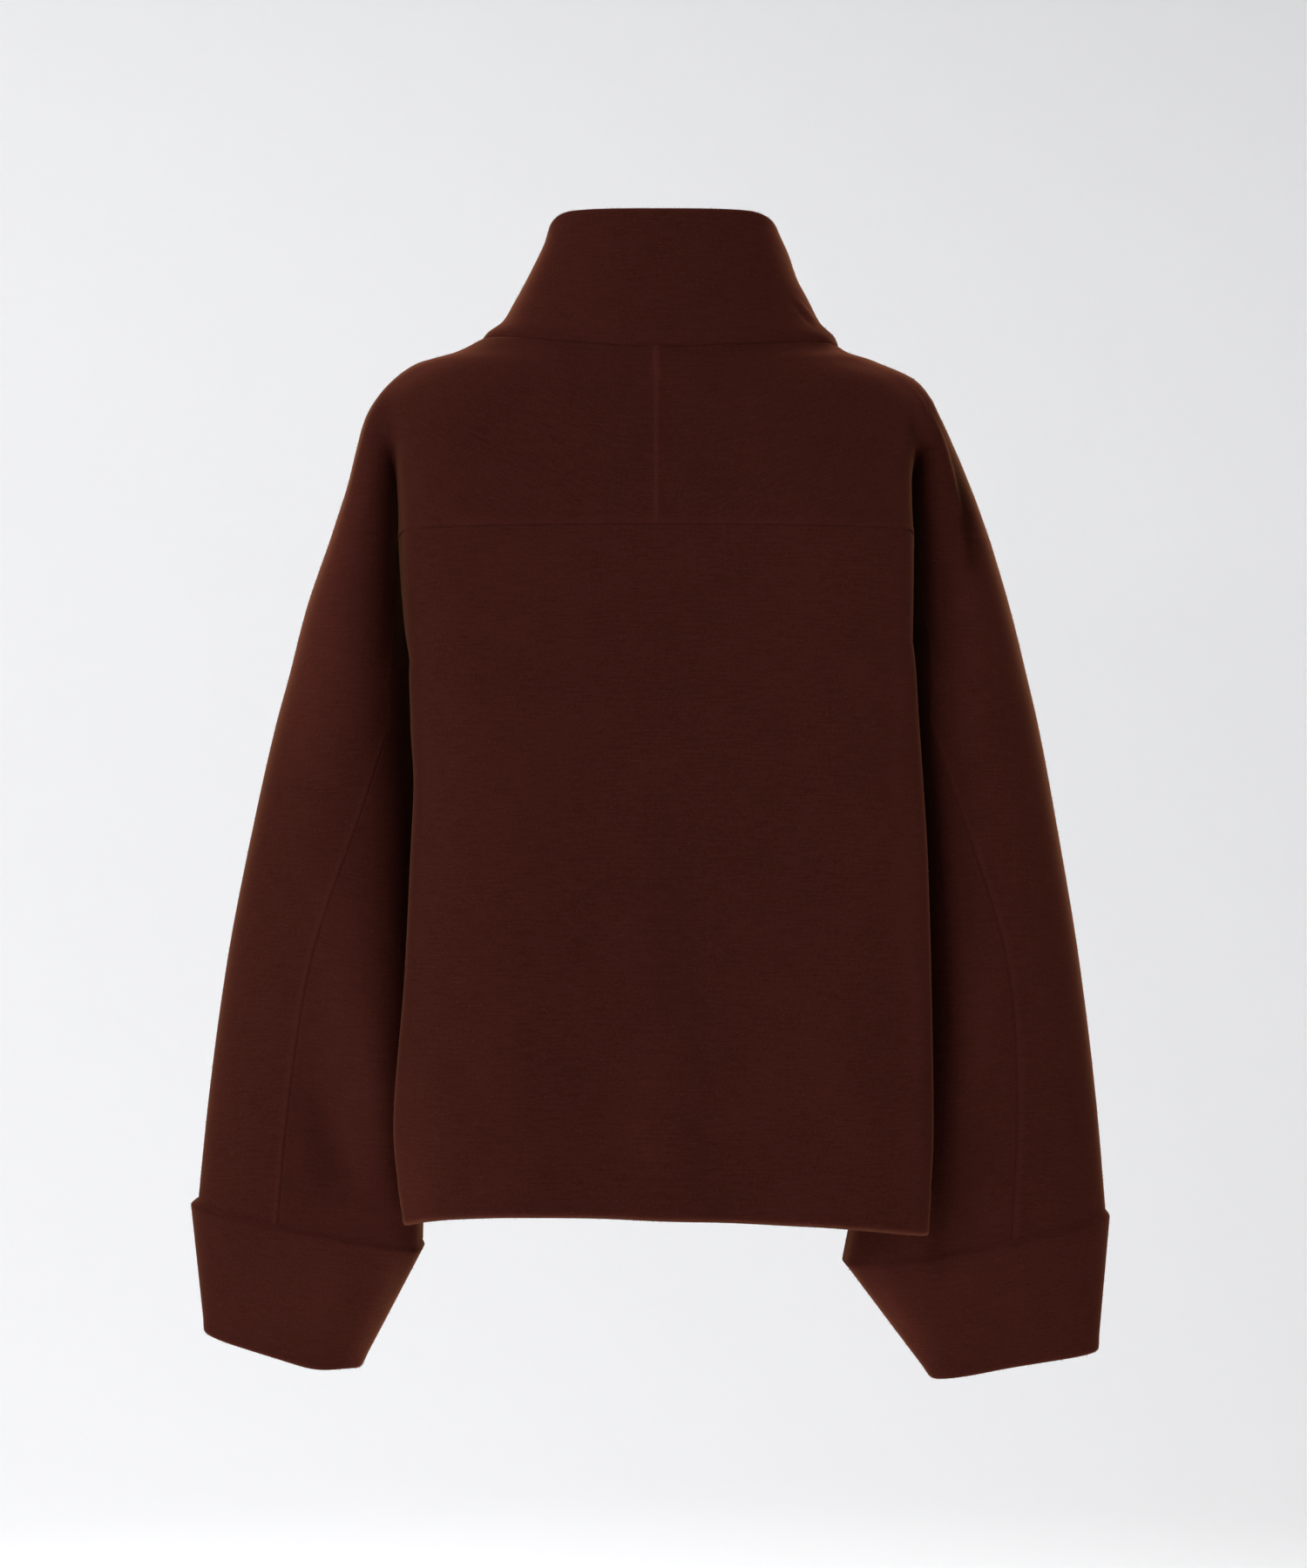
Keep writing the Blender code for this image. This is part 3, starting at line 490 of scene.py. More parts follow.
# Free edges: depth and softness of the turned-in hem, how much thicker it is outside and inside, how round
# its edge is and how much painted light lies along it, a painted rim of light
edgeStyle = named(
    "depth soft outside inside round tone",
    hem=(0.028, 0.006, 0.0006, 0.0016, 0.65, 1.3),
    opening=(0.022, 0.005, 0.0003, 0.0008, 0.8, 0.6),
    top=(0.004, 0.008, 0.0004, 0.0004, 0.95, 0.3),
    mouth=(0.004, 0.008, 0.0004, 0.0004, 0.8, 0.9),
)


def grid(points, flip, **edges):
    # edges: for top, bottom, start and end, the seam along that side, or (seam, first, last) for its parts
    parts = {side: [(seam, 0, None)] if isinstance(seam, str) else seam for side, seam in edges.items()}
    return {"points": points, "flip": flip, "edges": parts}


def sideDistances(points):
    down = np.linalg.norm(np.diff(points, axis=0), axis=-1).cumsum(axis=0)
    across = np.linalg.norm(np.diff(points, axis=1), axis=-1).cumsum(axis=1)
    down = np.concatenate([0 * down[:1], down])
    across = np.concatenate([0 * across[:, :1], across], axis=1)
    return {"top": down, "bottom": down[-1:] - down, "start": across, "end": across[:, -1:] - across}


def seamDistances(part):
    distances = sideDistances(part["points"])
    found = {}
    for side, parts in part["edges"].items():
        for name, first, last in parts:
            near = np.full(part["points"].shape[:2], farOff)
            if side in ("top", "bottom"):
                near[:, first:last] = distances[side][:, first:last]
            else:
                near[first:last] = distances[side][first:last]
            found[name] = np.minimum(found.get(name, farOff), near)
    return found, distances


def weld(grids):
    flat = np.concatenate([part["points"].reshape(-1, 3) for part in grids])
    _, first, number = np.unique(np.round(flat, weldDigits), axis=0, return_index=True, return_inverse=True)
    number = number.ravel()
    points = flat[first]
    near = {}
    quads, uvs = [], []
    base = 0
    for part in grids:
        rows, columns = part["points"].shape[:2]
        ids = number[base:base + rows * columns].reshape(rows, columns)
        found, distances = seamDistances(part)
        for name, values in found.items():
            near.setdefault(name, np.full(len(points), farOff))
            np.minimum.at(near[name], ids.ravel(), values.ravel())
        uv = np.stack([distances["start"], -distances["top"]], axis=-1)
        corner = [slice(0, -1), slice(1, None)]
        order = [(0, 0), (0, 1), (1, 1), (1, 0)]
        if part["flip"]:
            order = order[::-1]
        quads.append(np.stack([ids[corner[r], corner[c]].ravel() for r, c in order], axis=1))
        uvs.append(np.stack([uv[corner[r], corner[c]].reshape(-1, 2) for r, c in order], axis=1))
        base += rows * columns
    return {"points": points, "quads": np.concatenate(quads), "uvs": np.concatenate(uvs), "near": near}


def cornerNormals(points, quads):
    # normals of the four corners' triangles, weighed by angle
    total = np.zeros_like(points)
    for k in range(4):
        here, ahead, behind = (quads[:, (k + turn) % 4] for turn in (0, 1, 3))
        first, second = points[ahead] - points[here], points[behind] - points[here]
        normal = np.cross(first, second)
        size = np.linalg.norm(normal, axis=1)
        angle = np.arctan2(size, (first * second).sum(axis=1))
        np.add.at(total, here, normal / size.clip(noArea)[:, None] * angle[:, None])
    return total


def unit(vectors):
    return vectors / np.linalg.norm(vectors, axis=-1, keepdims=True).clip(noLength)


def poolNormals(pieces, seamsBy="points"):
    # pieces that meet at a seam share their normals there
    points = np.concatenate([piece[seamsBy] for piece in pieces])
    normals = np.concatenate([cornerNormals(piece["points"], piece["quads"]) for piece in pieces])
    _, number = np.unique(np.round(points, weldDigits), axis=0, return_inverse=True)
    number = number.ravel()
    total = np.zeros((number.max() + 1, 3))
    np.add.at(total, number, normals)
    pooled = unit(total)[number]
    base = 0
    for piece in pieces:
        piece["normals"] = pooled[base:base + len(piece["points"])]
        base += len(piece["points"])


creaseStyle = {
    "steps": 41,             # places along a crease
    "fade": 0.7,             # how late it fades towards its ends
    "turned": 0.35,          # how far round the side it still shows
    "turning": 0.5,
}
# the fold that falls from the right shoulder
rightFold = ((-0.180, -0.019), (-0.191, -0.030), (-0.2077, -0.0605), (-0.2140, -0.0873), (-0.2173, -0.1127),
             (-0.2203, -0.1511))
# Creases of each side: width, height (a trough where negative, none where only painted light or shade
# changes), how much painted light lies there (painted shade where negative), then x and z along them
creases = {
    "back": [
        # the right shoulder's ridge, a painted highlight along it and painted shade in the trough beside it
        (0.0026, 0.0016, 0.00, rightFold[1:]),
        (0.0011, 0.0003, 0.65, rightFold),
        (0.0070, -0.0034, -0.75, ((-0.1985, -0.036), (-0.2145, -0.066), (-0.2212, -0.091), (-0.2250, -0.117),
                                  (-0.2280, -0.165))),
        # painted light on the shoulders and sleeves, and painted shade down the centre back
        (0.0100, 0.0, 1.00, ((-0.125, 0.012), (-0.1594, -0.0017), (-0.1787, -0.0101), (-0.200, -0.030))),
        (0.0095, 0.0, 0.65, ((0.125, 0.012), (0.1594, 0.0000), (0.1826, -0.0101), (0.202, -0.030))),
        (0.0300, 0.0, 0.32, ((0.2250, -0.060), (0.2450, -0.180), (0.2600, -0.320))),
        (0.0260, 0.0, 0.26, ((0.2380, -0.380), (0.2250, -0.500), (0.2150, -0.640))),
        (0.0180, 0.0, 0.18, ((-0.2350, -0.420), (-0.2300, -0.540), (-0.2240, -0.650))),
        (0.0900, 0.0, -0.07, ((0.0, -0.060), (0.0, -0.240), (0.0, -0.420), (0.0, -0.680))),
        # right armhole fold, with painted shade and light along it and the body's painted shadow on the right
        # sleeve
        (0.0040, 0.0, -0.50, ((-0.1845, -0.030), (-0.1850, -0.100), (-0.1865, -0.180), (-0.1885, -0.260))),
        (0.0140, 0.0, 0.14, ((-0.1760, -0.060), (-0.1780, -0.200), (-0.1840, -0.400), (-0.1860, -0.660))),
        (0.0100, 0.0, -0.45, ((-0.2030, -0.430), (-0.2045, -0.560), (-0.2060, -0.690))),
        # above the cuffs and on them, with painted light on the cuffs and painted shade in the troughs
        (0.0120, -0.0030, -0.08, ((0.2507, -0.530), (0.2348, -0.583), (0.2252, -0.630))),
        (0.0140, 0.0018, 0.24, ((0.2093, -0.470), (0.1965, -0.589), (0.1920, -0.660))),
        (0.0120, 0.0, 0.90, ((0.1820, -0.650), (0.1945, -0.693), (0.2108, -0.732), (0.2280, -0.775))),
        (0.0450, 0.0, 0.10, ((0.1900, -0.655), (0.2650, -0.690), (0.3400, -0.710))),
        (0.0130, 0.0, 0.50, ((-0.1500, -0.670), (-0.1670, -0.696), (-0.1854, -0.724), (-0.2020, -0.755))),
        (0.0110, -0.0016, -0.04, ((-0.2450, -0.470), (-0.2330, -0.560), (-0.2240, -0.630))),
        # soft drapes of the lower back with painted light and shade along them, and a painted light strip
        # near the left side
        (0.0100, 0.0008, 0.04, ((0.1232, -0.318), (0.1096, -0.352), (0.0819, -0.407), (0.0696, -0.450))),
        (0.0110, 0.0010, 0.04, ((0.0092, -0.370), (0.0085, -0.500), (0.0092, -0.622))),
        (0.0110, -0.0010, -0.05, ((-0.0280, -0.450), (-0.0295, -0.540), (-0.0289, -0.622))),
        (0.0160, 0.0, 0.16, ((0.1700, -0.500), (0.1700, -0.600), (0.1700, -0.720))),
        # the collar's sides, with painted light bands along its edges
        (0.0018, 0.0010, 0.10, ((-0.1005, 0.0410), (-0.1100, 0.0310), (-0.1190, 0.0205))),
        (0.0018, -0.0010, -0.12, ((-0.0985, 0.0355), (-0.1075, 0.0265), (-0.1165, 0.0165))),
        (0.0045, 0.0014, 0.00, ((-0.1080, 0.0110), (-0.1190, 0.0105), (-0.1300, 0.0065))),
        (0.0080, -0.0010, 0.00, ((-0.0890, 0.0840), (-0.0960, 0.0640), (-0.1030, 0.0480))),
        (0.0100, 0.0, 1.20, ((-0.0780, 0.1280), (-0.0985, 0.0800), (-0.1090, 0.0580), (-0.1240, 0.0200))),
        (0.0100, 0.0, 1.00, ((0.0730, 0.1280), (0.0905, 0.0800), (0.1010, 0.0500), (0.1180, 0.0100))),
    ],
    "front": [
        # the fronts' ridges and troughs, with painted light and shade along them
        (0.0028, 0.0015, 0.10, ((0.190, -0.034), (0.2060, -0.064), (0.2125, -0.092), (0.2165, -0.150))),
        (0.0070, -0.0030, -0.25, ((0.198, -0.040), (0.2135, -0.070), (0.2210, -0.096), (0.2255, -0.158))),
        (0.0110, -0.0024, -0.06, ((-0.2500, -0.530), (-0.2360, -0.585), (-0.2260, -0.635))),
        (0.0110, -0.0018, -0.06, ((0.2480, -0.500), (0.2350, -0.570), (0.2260, -0.625))),
        (0.0120, 0.0012, 0.04, ((0.1010, -0.330), (0.0980, -0.450), (0.1000, -0.620))),
        (0.0120, -0.0012, -0.05, ((-0.1040, -0.340), (-0.1020, -0.470), (-0.1060, -0.620))),
    ],
}


def creaseShape(points, normals):
    lift, tone = np.zeros(len(points)), np.zeros(len(points))
    share = np.linspace(0, 1, creaseStyle["steps"])
    for face, rows in creases.items():
        outward = normals[:, 1] * np.sign(body[f"y_{face}"][0])
        facing = ease((outward + creaseStyle["turned"]) / creaseStyle["turning"])
        # each crease lifts the cloth and paints light onto it, painted shade where negative
        for width, height, paintedCreaseLight, line in rows:
            line = np.array(line)
            along = lengths(line)
            path = np.stack([smooth(along / along[-1], line[:, k], share) for k in (0, 1)], axis=-1)
            gap = points[:, None, [0, 2]] - path[None]
            distance = np.hypot(gap[..., 0], gap[..., 1])
            fade = np.sin(np.pi * share[distance.argmin(axis=1)]) ** creaseStyle["fade"]
            strength = np.exp(-(distance.min(axis=1) / width) ** 2) * fade * facing
            lift += height * strength
            tone += paintedCreaseLight * strength
    return lift, tone


fuzzStyle = {
    "length": 0.0018,
    "sizes": (0.5, 1.3),     # shortest and longest, times that length
    "radius": 0.00008,
    "density": 24000.0,      # fibres to a square metre
    "edges": 22.0,           # times as many on free edges
    "edgeWidth": 0.0026,
    "tilt": 1.1,
    "seed": 5,
    "colour": (0.120, 0.042, 0.022, 1.0),
    "roughness": 0.9,
}


def shapePiece(kind, piece, wall):
    points, normals, near = piece["points"], piece["normals"], piece["near"]
    lift, tone = creaseShape(points, normals)
    fuzz = np.ones(len(points))
    seamShape, paintedSheen, swellOut, swellIn, lip = (np.zeros(len(points)) for _ in range(5))
    for seam, style in seamStyle.items():
        if seam in near:
            seamShape -= style["groove"] * np.exp(-(near[seam] / style["grooveWidth"]) ** 2)
            if kind == style["on"]:
                welt = 1 - ease((near[seam] - style["width"]) / style["soft"])
                seamShape += style["welt"] * welt
                # painted sheen on the welt
                paintedSheen = np.maximum(paintedSheen, style["tone"] * welt)
    for edge, style in edgeStyle.items():
        if edge in near:
            turned = 1 - ease((near[edge] - style["depth"]) / style["soft"])
            swellOut = np.maximum(swellOut, style["outside"] * turned)
            swellIn = np.maximum(swellIn, style["inside"] * turned)
            half = (wall + style["outside"] + style["inside"]) / 2
            rise = np.clip(1 - near[edge] / half, 0, 1)
            lip = np.maximum(lip, half * style["round"] * (1 - np.sqrt(1 - rise ** 2)))
            close = np.exp(-(near[edge] / fuzzStyle["edgeWidth"]) ** 2)
            fuzz = np.maximum(fuzz, fuzzStyle["edges"] * close)
            # a painted rim of light along the free edge
            paintedSheen = np.maximum(paintedSheen, style["tone"] * close)
    piece["base"] = points
    # painted light and shade from the creases, welts and edges
    piece["tone"] = tone + paintedSheen
    piece["fuzz"] = fuzz
    piece["inner"] = points + normals * (lift - wall - swellIn + lip)[:, None]
    piece["points"] = points + normals * (lift + seamShape + swellOut - lip)[:, None]


def placed(name, data):
    made = bpy.data.objects.new(name, data)
    bpy.context.scene.collection.objects.link(made)
    return made


def makePiece(name, piece):
    outer, inner, tone, quads = piece["points"], piece["inner"], piece["tone"], piece["quads"]
    count = len(outer)
    pairs = np.concatenate([quads[:, [k, (k + 1) % 4]] for k in range(4)]).astype(np.int64)
    pairs = pairs[pairs[:, 0] != pairs[:, 1]]
    rim = pairs[~np.isin(pairs[:, 0] * count + pairs[:, 1], pairs[:, 1] * count + pairs[:, 0])]
    rimFaces = np.column_stack([rim[:, 1], rim[:, 0], rim[:, 0] + count, rim[:, 1] + count])
    allFaces = np.concatenate([quads, quads[:, ::-1] + count, rimFaces])
    faceUvs = np.concatenate([piece["uvs"], piece["uvs"][:, ::-1], np.zeros((len(rim), 4, 2))])
    loose = (allFaces == np.roll(allFaces, 1, axis=1)).any(axis=1)
    shown, shownUvs, corners, outside = [], [], [], []
    for number, (face, uv, pinched) in enumerate(zip(allFaces.tolist(), faceUvs.tolist(), loose.tolist())):
        if pinched:
            kept = [k for k in range(4) if face[k] != face[k - 1]]
            if len(kept) < 3:
                continue
            face, uv = [face[k] for k in kept], [uv[k] for k in kept]
        shown.append(face)
        shownUvs.extend(uv)
        corners.extend(face)
        outside.extend([number < len(quads)] * len(face))
    data = bpy.data.meshes.new(name)
    data.from_pydata(np.concatenate([outer, inner]).tolist(), [], shown)
    data.shade_smooth()
    own = np.zeros(len(corners) * 3)
    data.corner_normals.foreach_get("vector", own)
    shared = np.concatenate([piece["normals"], piece["normals"]])[corners]
    data.normals_split_custom_set(np.where(np.array(outside)[:, None], shared, own.reshape(-1, 3)).tolist())
    layer = data.uv_layers.new(name="cloth")
    layer.data.foreach_set("uv", np.array(shownUvs, dtype=np.float32).ravel())
    # the painted light and shade is stored as an attribute for the wool
    layer = data.attributes.new("tone", "FLOAT", "POINT")
    layer.data.foreach_set("value", np.concatenate([tone, 0 * tone]).astype(np.float32))
    a, b, c, d = (outer[quads[:, k]] for k in range(4))
    area = np.linalg.norm(np.cross(c - a, d - b), axis=1).sum() / 2
    print(f"short coat: {name}, {len(shown)} faces, {area:.4f} m2")
    return placed(name, data)


yokeStyle = {
    "wall": 0.0026,
    "soften": {"reach": 0.007, "points": 6, "half": 18, "top": 0.1, "bottom": 0.12},
    "flat": {"Left": (0.42, 0.80), "Right": (0.42, 0.80)},
    "area": 0.197,
}


def yokeGrids(side):
    rows = shoulderRows(side)
    fore = rows["front"][:, len(frontAngles) - 1:][:, ::-1]
    sections = sleeveSections(side)
    outer = np.concatenate([upperSleeve(side, sections, "back"),
                            upperSleeve(side, sections, "front")[:, ::-1][:, 1:]], axis=1)
    shoulder = np.concatenate([rows["back"], fore[:, 1:]], axis=1)
    shoulder[-1, backCount:] = outer[0]
    shoulder = evened(shoulder, yokeStyle["soften"])
    flip = side == "Right"
    return [grid(shoulder, flip, top="neck", start="centre", end="shoulder",
                 bottom=[("yoke", 0, backCount + 1)]),
            grid(outer, flip, start="sleeve", end="sleeve", bottom="cuff")]


backStyle = {
    "wall": 0.0026,
    "flat": (0.95, 0.56),
    "area": 0.40,
}


def backGrids():
    parts = []
    for side in sides:
        flip = side == "Right"
        parts.append(grid(bodyHalf(side, "back", backAngles), flip, top="yoke", bottom="hem",
                          end=[("side", joinedCount, None)]))
        parts.append(grid(wing(side, "back"), flip, start=[("underarm", joinedCount, None)], end="sleeve",
                          bottom="cuff"))
    return parts


frontStyle = {
    "wall": 0.0026,
    "flat": {"Left": (0.55, 0.66), "Right": (0.55, 0.66)},
    "area": 0.22,
}


def frontGrids(side):
    other = "Right" if side == "Left" else "Left"
    rows = {name: np.concatenate([shoulderRows(name)["front"][:-1, :len(frontAngles)],
                                  bodyHalf(name, "front", frontAngles)]) for name in sides}
    panel = np.concatenate([rows[side][:, ::-1], rows[other][:, 1:lapCount + 1]], axis=1)
    under = wing(side, "front")[:, ::-1]
    if side == "Left":
        panel, under = tucked(panel), tucked(under)
    flip = side == "Right"
    return [grid(panel, flip, top="neck", bottom="hem", end="opening",
                 start=[("shoulder", 0, capCount + 1), ("side", capCount + joinedCount, None)]),
            grid(under, flip, start="sleeve", end=[("underarm", joinedCount, None)], bottom="cuff")]


collarStyle = {
    "wall": 0.0042,
    "columns": 60,
    "lapPart": 0.3,          # share of the columns on the lap
    "flat": (0.80, 0.13),
    "area": 0.075,
}


def collarGrids():
    even = np.linspace(0, 1, collarStyle["columns"] + 1)
    lap = collarStyle["lapPart"]
    lapPart = {"back": None, "front": lap}
    places = {"back": even, "front": np.concatenate([lapShares * lap, lap + (1 - lap) * even[1:]])}
    rows = []
    for share in spread(**mesh["collarRows"])[::-1]:
        parts = {}
        for side in sides:
            for face, curve in ring(funnel, side, share).items():
                here = ringPlaces(curve, places[face], lapPart[face])
                parts[side, face] = np.column_stack([onRing(curve, here),
                                                     -ringDown(funnel, side, face, here, share)])
        over = parts["Left", "front"][lapCount:0:-1]
        right = np.concatenate([parts["Right", "front"], parts["Right", "back"][::-1][1:]])
        left = np.concatenate([parts["Left", "back"][1:], parts["Left", "front"][::-1][1:]])
        under = parts["Right", "front"][1:lapCount + 1]
        rows.append(np.concatenate([over, right, tucked(np.concatenate([left, under]))]))
    return [grid(np.array(rows), False, top="top", bottom="neck", start="opening", end="opening")]


cuffStyle = {
    "wall": 0.0042,
    "seamDown": {"Left": 0.625, "Right": 0.634},
    "step": 0.004,           # how far the cuff stands proud at its seam
    "outerStep": {"Left": 0.0062, "Right": 0.0036},
    "innerStep": {"Left": 0.004, "Right": 0.0},
    "stepShare": 0.05,
    "cornerLift": {"Left": 0.0095, "Right": 0.001},      # how far the mouth rounds up at its inner corner
    "cornerReach": 0.020,
    "cornerRise": 3,         # how late it rises towards the mouth
    "cornerIn": 0.5,         # shift towards the body for each unit of lift
    "mouth": {"innerY_back": -0.052, "innerY_front": -0.052, "midY": -0.052, "back": -0.008, "front": -0.100,
              "opening_back": 0.0, "opening_front": 0.1, "power_back": 3.6, "power_front": 2.2},
    "mouthEdges": named("down lean outer inner lift", Left=(0.7275, 0.0350, 0.3406, 0.2270, 0.003),
                        Right=(0.7414, 0.0205, 0.3334, 0.2070, 0.0035)),
    "flat": {"Left": (0.43, 0.13), "Right": (0.47, 0.13)},
    "area": 0.048,
}
cuffShares = np.unique(np.append(spread(**mesh["cuffRows"]), cuffStyle["stepShare"]))


def cuffSection(side, share):
    top = sleeveSection(side, cuffStyle["seamDown"][side])
    end = {**cuffStyle["mouth"], **cuffStyle["mouthEdges"][side]}
    section = {name: top[name] + (end[name] - top[name]) * share for name in top}
    proud = ease(share / cuffStyle["stepShare"]) * (1 - share)
    section["outer"] += cuffStyle["outerStep"][side] * proud
    section["inner"] -= cuffStyle["innerStep"][side] * proud
    section["back"] += cuffStyle["step"] * proud
    section["front"] -= cuffStyle["step"] * proud
    return section


def cuffGrids(side):
    seam = at(armTurn, "seam", cuffStyle["seamDown"][side])
    shares = np.concatenate([seam * wingShares, seam + (1 - seam) * upperShares[1:]])
    rings = []
    for share in cuffShares:
        section = cuffSection(side, share)
        rear = tubeHalf(side, section, "back", shares)
        fore = tubeHalf(side, section, "front", shares)[::-1]
        points = np.concatenate([rear, fore[1:]])
        reach = np.abs(points[:, 0]) - section["inner"]
        corner = np.exp(-(reach / cuffStyle["cornerReach"]) ** 2)
        lift = cuffStyle["cornerLift"][side] * corner * share ** cuffStyle["cornerRise"]
        rings.append(points + lift[:, None] * np.array([-cuffStyle["cornerIn"] * sides[side], 0.0, 1.0]))
    return [grid(np.array(rings), side == "Right", top="cuff", bottom="mouth")]


print("short coat: cloth")
welded = {"back": weld(backGrids())}
for side in sides:
    for kind, grids in (("yoke", yokeGrids), ("front", frontGrids), ("cuff", cuffGrids)):
        welded[f"{kind}_{side.lower()}"] = weld(grids(side))
poolNormals(list(welded.values()))
for side in sides:
    underarm = bodyPoints(side, "back", cut["underarmDown"], rightAngle)
    for piece in welded.values():
        atUnderarm = np.linalg.norm(piece["points"] - underarm, axis=1) < sameSpot
        piece["normals"][atUnderarm] = (0.0, 0.0, -1.0)
welded["collar"] = weld(collarGrids())
poolNormals([welded["collar"]])

styles = {"back": backStyle, "collar": collarStyle, "yoke": yokeStyle, "front": frontStyle, "cuff": cuffStyle}
for node, piece in welded.items():
    kind = node.split("_")[0]
    shapePiece(kind, piece, styles[kind]["wall"])
poolNormals([piece for node, piece in welded.items() if node != "collar"], "base")
poolNormals([welded["collar"]], "base")
coat = {node: makePiece(node + "_cloth", piece) for node, piece in welded.items()}


print("short coat: wool")

woolStyle = {
    "dark": (0.0312, 0.0072, 0.0049, 1.0),
    "light": (0.0485, 0.0121, 0.0085, 1.0),
    "shadeRange": (0.36, 0.64),  # of the mixed patterns, from dark to light
    "level": (0.9, 0.2),         # brightness, and how much the mottle adds
    "paintedGoldSheen": (0.55, 0.15),      # how much more green and blue show where the painted light is strong, a painted golden sheen
    "paintedGoldSheenRange": (0.3, 1.0),   # of the painted light and shade
    "sheenTint": (1.0, 0.41, 0.20, 1.0),
    "sheen": 0.22,
    "sheenRoughness": 0.27,
    "roughness": (0.86, 0.14),   # least, and how much the nap adds
    "bump": 0.0004,
    "bumpStrength": 0.5,
    "stretch": (60.0, 700.0, 1.0),    # streaks to a metre, across and along
    # each pattern's noise, then its part in the shade and in the bump's height
    "patterns": named("scale detail rough shade height", nap=(620.0, 4.0, 0.65, 0.50, 0.8),
                      streak=(1.0, 3.0, 0.6, 0.38, 0.2), clouds=(38.0, 3.0, 0.55, 0.12, 0.0),
                      mottle=(8.0, 2.0, 0.5, 0.0, 0.0)),
}


class Flow:
    # one shader socket that takes part in sums
    def __init__(self, tree, socket=None):
        self.tree = tree
        self.socket = socket

    def put(self, value, target):
        if isinstance(value, Flow):
            self.tree.links.new(value.socket, target)
        else:
            target.default_value = value

    def node(self, kind, settings=None, inputs=None, out=0):
        made = self.tree.nodes.new(kind)
        for name, value in (settings or {}).items():
            setattr(made, name, value)
        for name, value in (inputs or {}).items():
            self.put(value, made.inputs[name])
        return Flow(self.tree, made.outputs[out])

    def sum(self, operation, first, second):
        return self.node("ShaderNodeMath", {"operation": operation}, {0: first, 1: second})

    def __add__(self, other):
        return self.sum("ADD", self, other)

    def __radd__(self, other):
        return self.sum("ADD", other, self)

    def __mul__(self, other):
        return self.sum("MULTIPLY", self, other)

    def __rmul__(self, other):
        return self.sum("MULTIPLY", other, self)

    def between(self, low, high):
        return self.node("ShaderNodeMapRange", {}, {"Value": self, "From Min": low, "From Max": high})

    def blend(self, first, second):
        return self.node("ShaderNodeMix", {"data_type": "RGBA"}, {0: self, 6: first, 7: second}, 2)


def material(name, values):
    made = bpy.data.materials.new(name)
    made.use_nodes = True
    for socket, value in values.items():
        made.node_tree.nodes["Principled BSDF"].inputs[socket].default_value = value
    return made


def makeWool(name):
    style, patterns = woolStyle, woolStyle["patterns"]
    made = material(name, {"Specular IOR Level": 0.0, "Sheen Weight": style["sheen"],
                           "Sheen Roughness": style["sheenRoughness"], "Sheen Tint": style["sheenTint"]})
    shader = made.node_tree.nodes["Principled BSDF"]
    flow = Flow(made.node_tree)
    place = flow.node("ShaderNodeTexCoord", out=3)
    cloth = flow.node("ShaderNodeUVMap", {"uv_map": "cloth"})
    tone = flow.node("ShaderNodeAttribute", {"attribute_name": "tone"}, out=2)

    def noise(pattern, vector):
        row = patterns[pattern]
        return flow.node("ShaderNodeTexNoise", {}, {"Vector": vector, "Scale": row["scale"],
                                                    "Detail": row["detail"], "Roughness": row["rough"]})

    def times(first, second):
        return flow.node("ShaderNodeVectorMath", {"operation": "MULTIPLY"}, {0: first, 1: second})

    nap, clouds, mottle = (noise(pattern, place) for pattern in ("nap", "clouds", "mottle"))
    streak = noise("streak", times(cloth, style["stretch"]))
    shade = (nap * patterns["nap"]["shade"] + streak * patterns["streak"]["shade"]
             + clouds * patterns["clouds"]["shade"]).between(*style["shadeRange"])
    colour = shade.blend(style["dark"], style["light"])
    least, more = style["level"]
    # the painted light and shade scales the colour, and a painted golden sheen tints it where it is light
    level = least + mottle * more + tone
    paintedGoldSheen = tone.between(*style["paintedGoldSheenRange"])
    green, blue = (level + paintedGoldSheen * extra for extra in style["paintedGoldSheen"])
    tint = flow.node("ShaderNodeCombineXYZ", {}, {"X": level, "Y": green, "Z": blue})
    flow.put(times(colour, tint), shader.inputs["Base Color"])
    least, more = style["roughness"]
    flow.put(least + nap * more, shader.inputs["Roughness"])
    height = nap * patterns["nap"]["height"] + streak * patterns["streak"]["height"]
    bump = flow.node("ShaderNodeBump", {}, {"Strength": style["bumpStrength"], "Distance": style["bump"],
                                            "Height": height})
    flow.put(bump, shader.inputs["Normal"])
    return made


wool = makeWool("brushed_wool")
for piece in coat.values():
    piece.data.materials.append(wool)

print("short coat: fuzz")


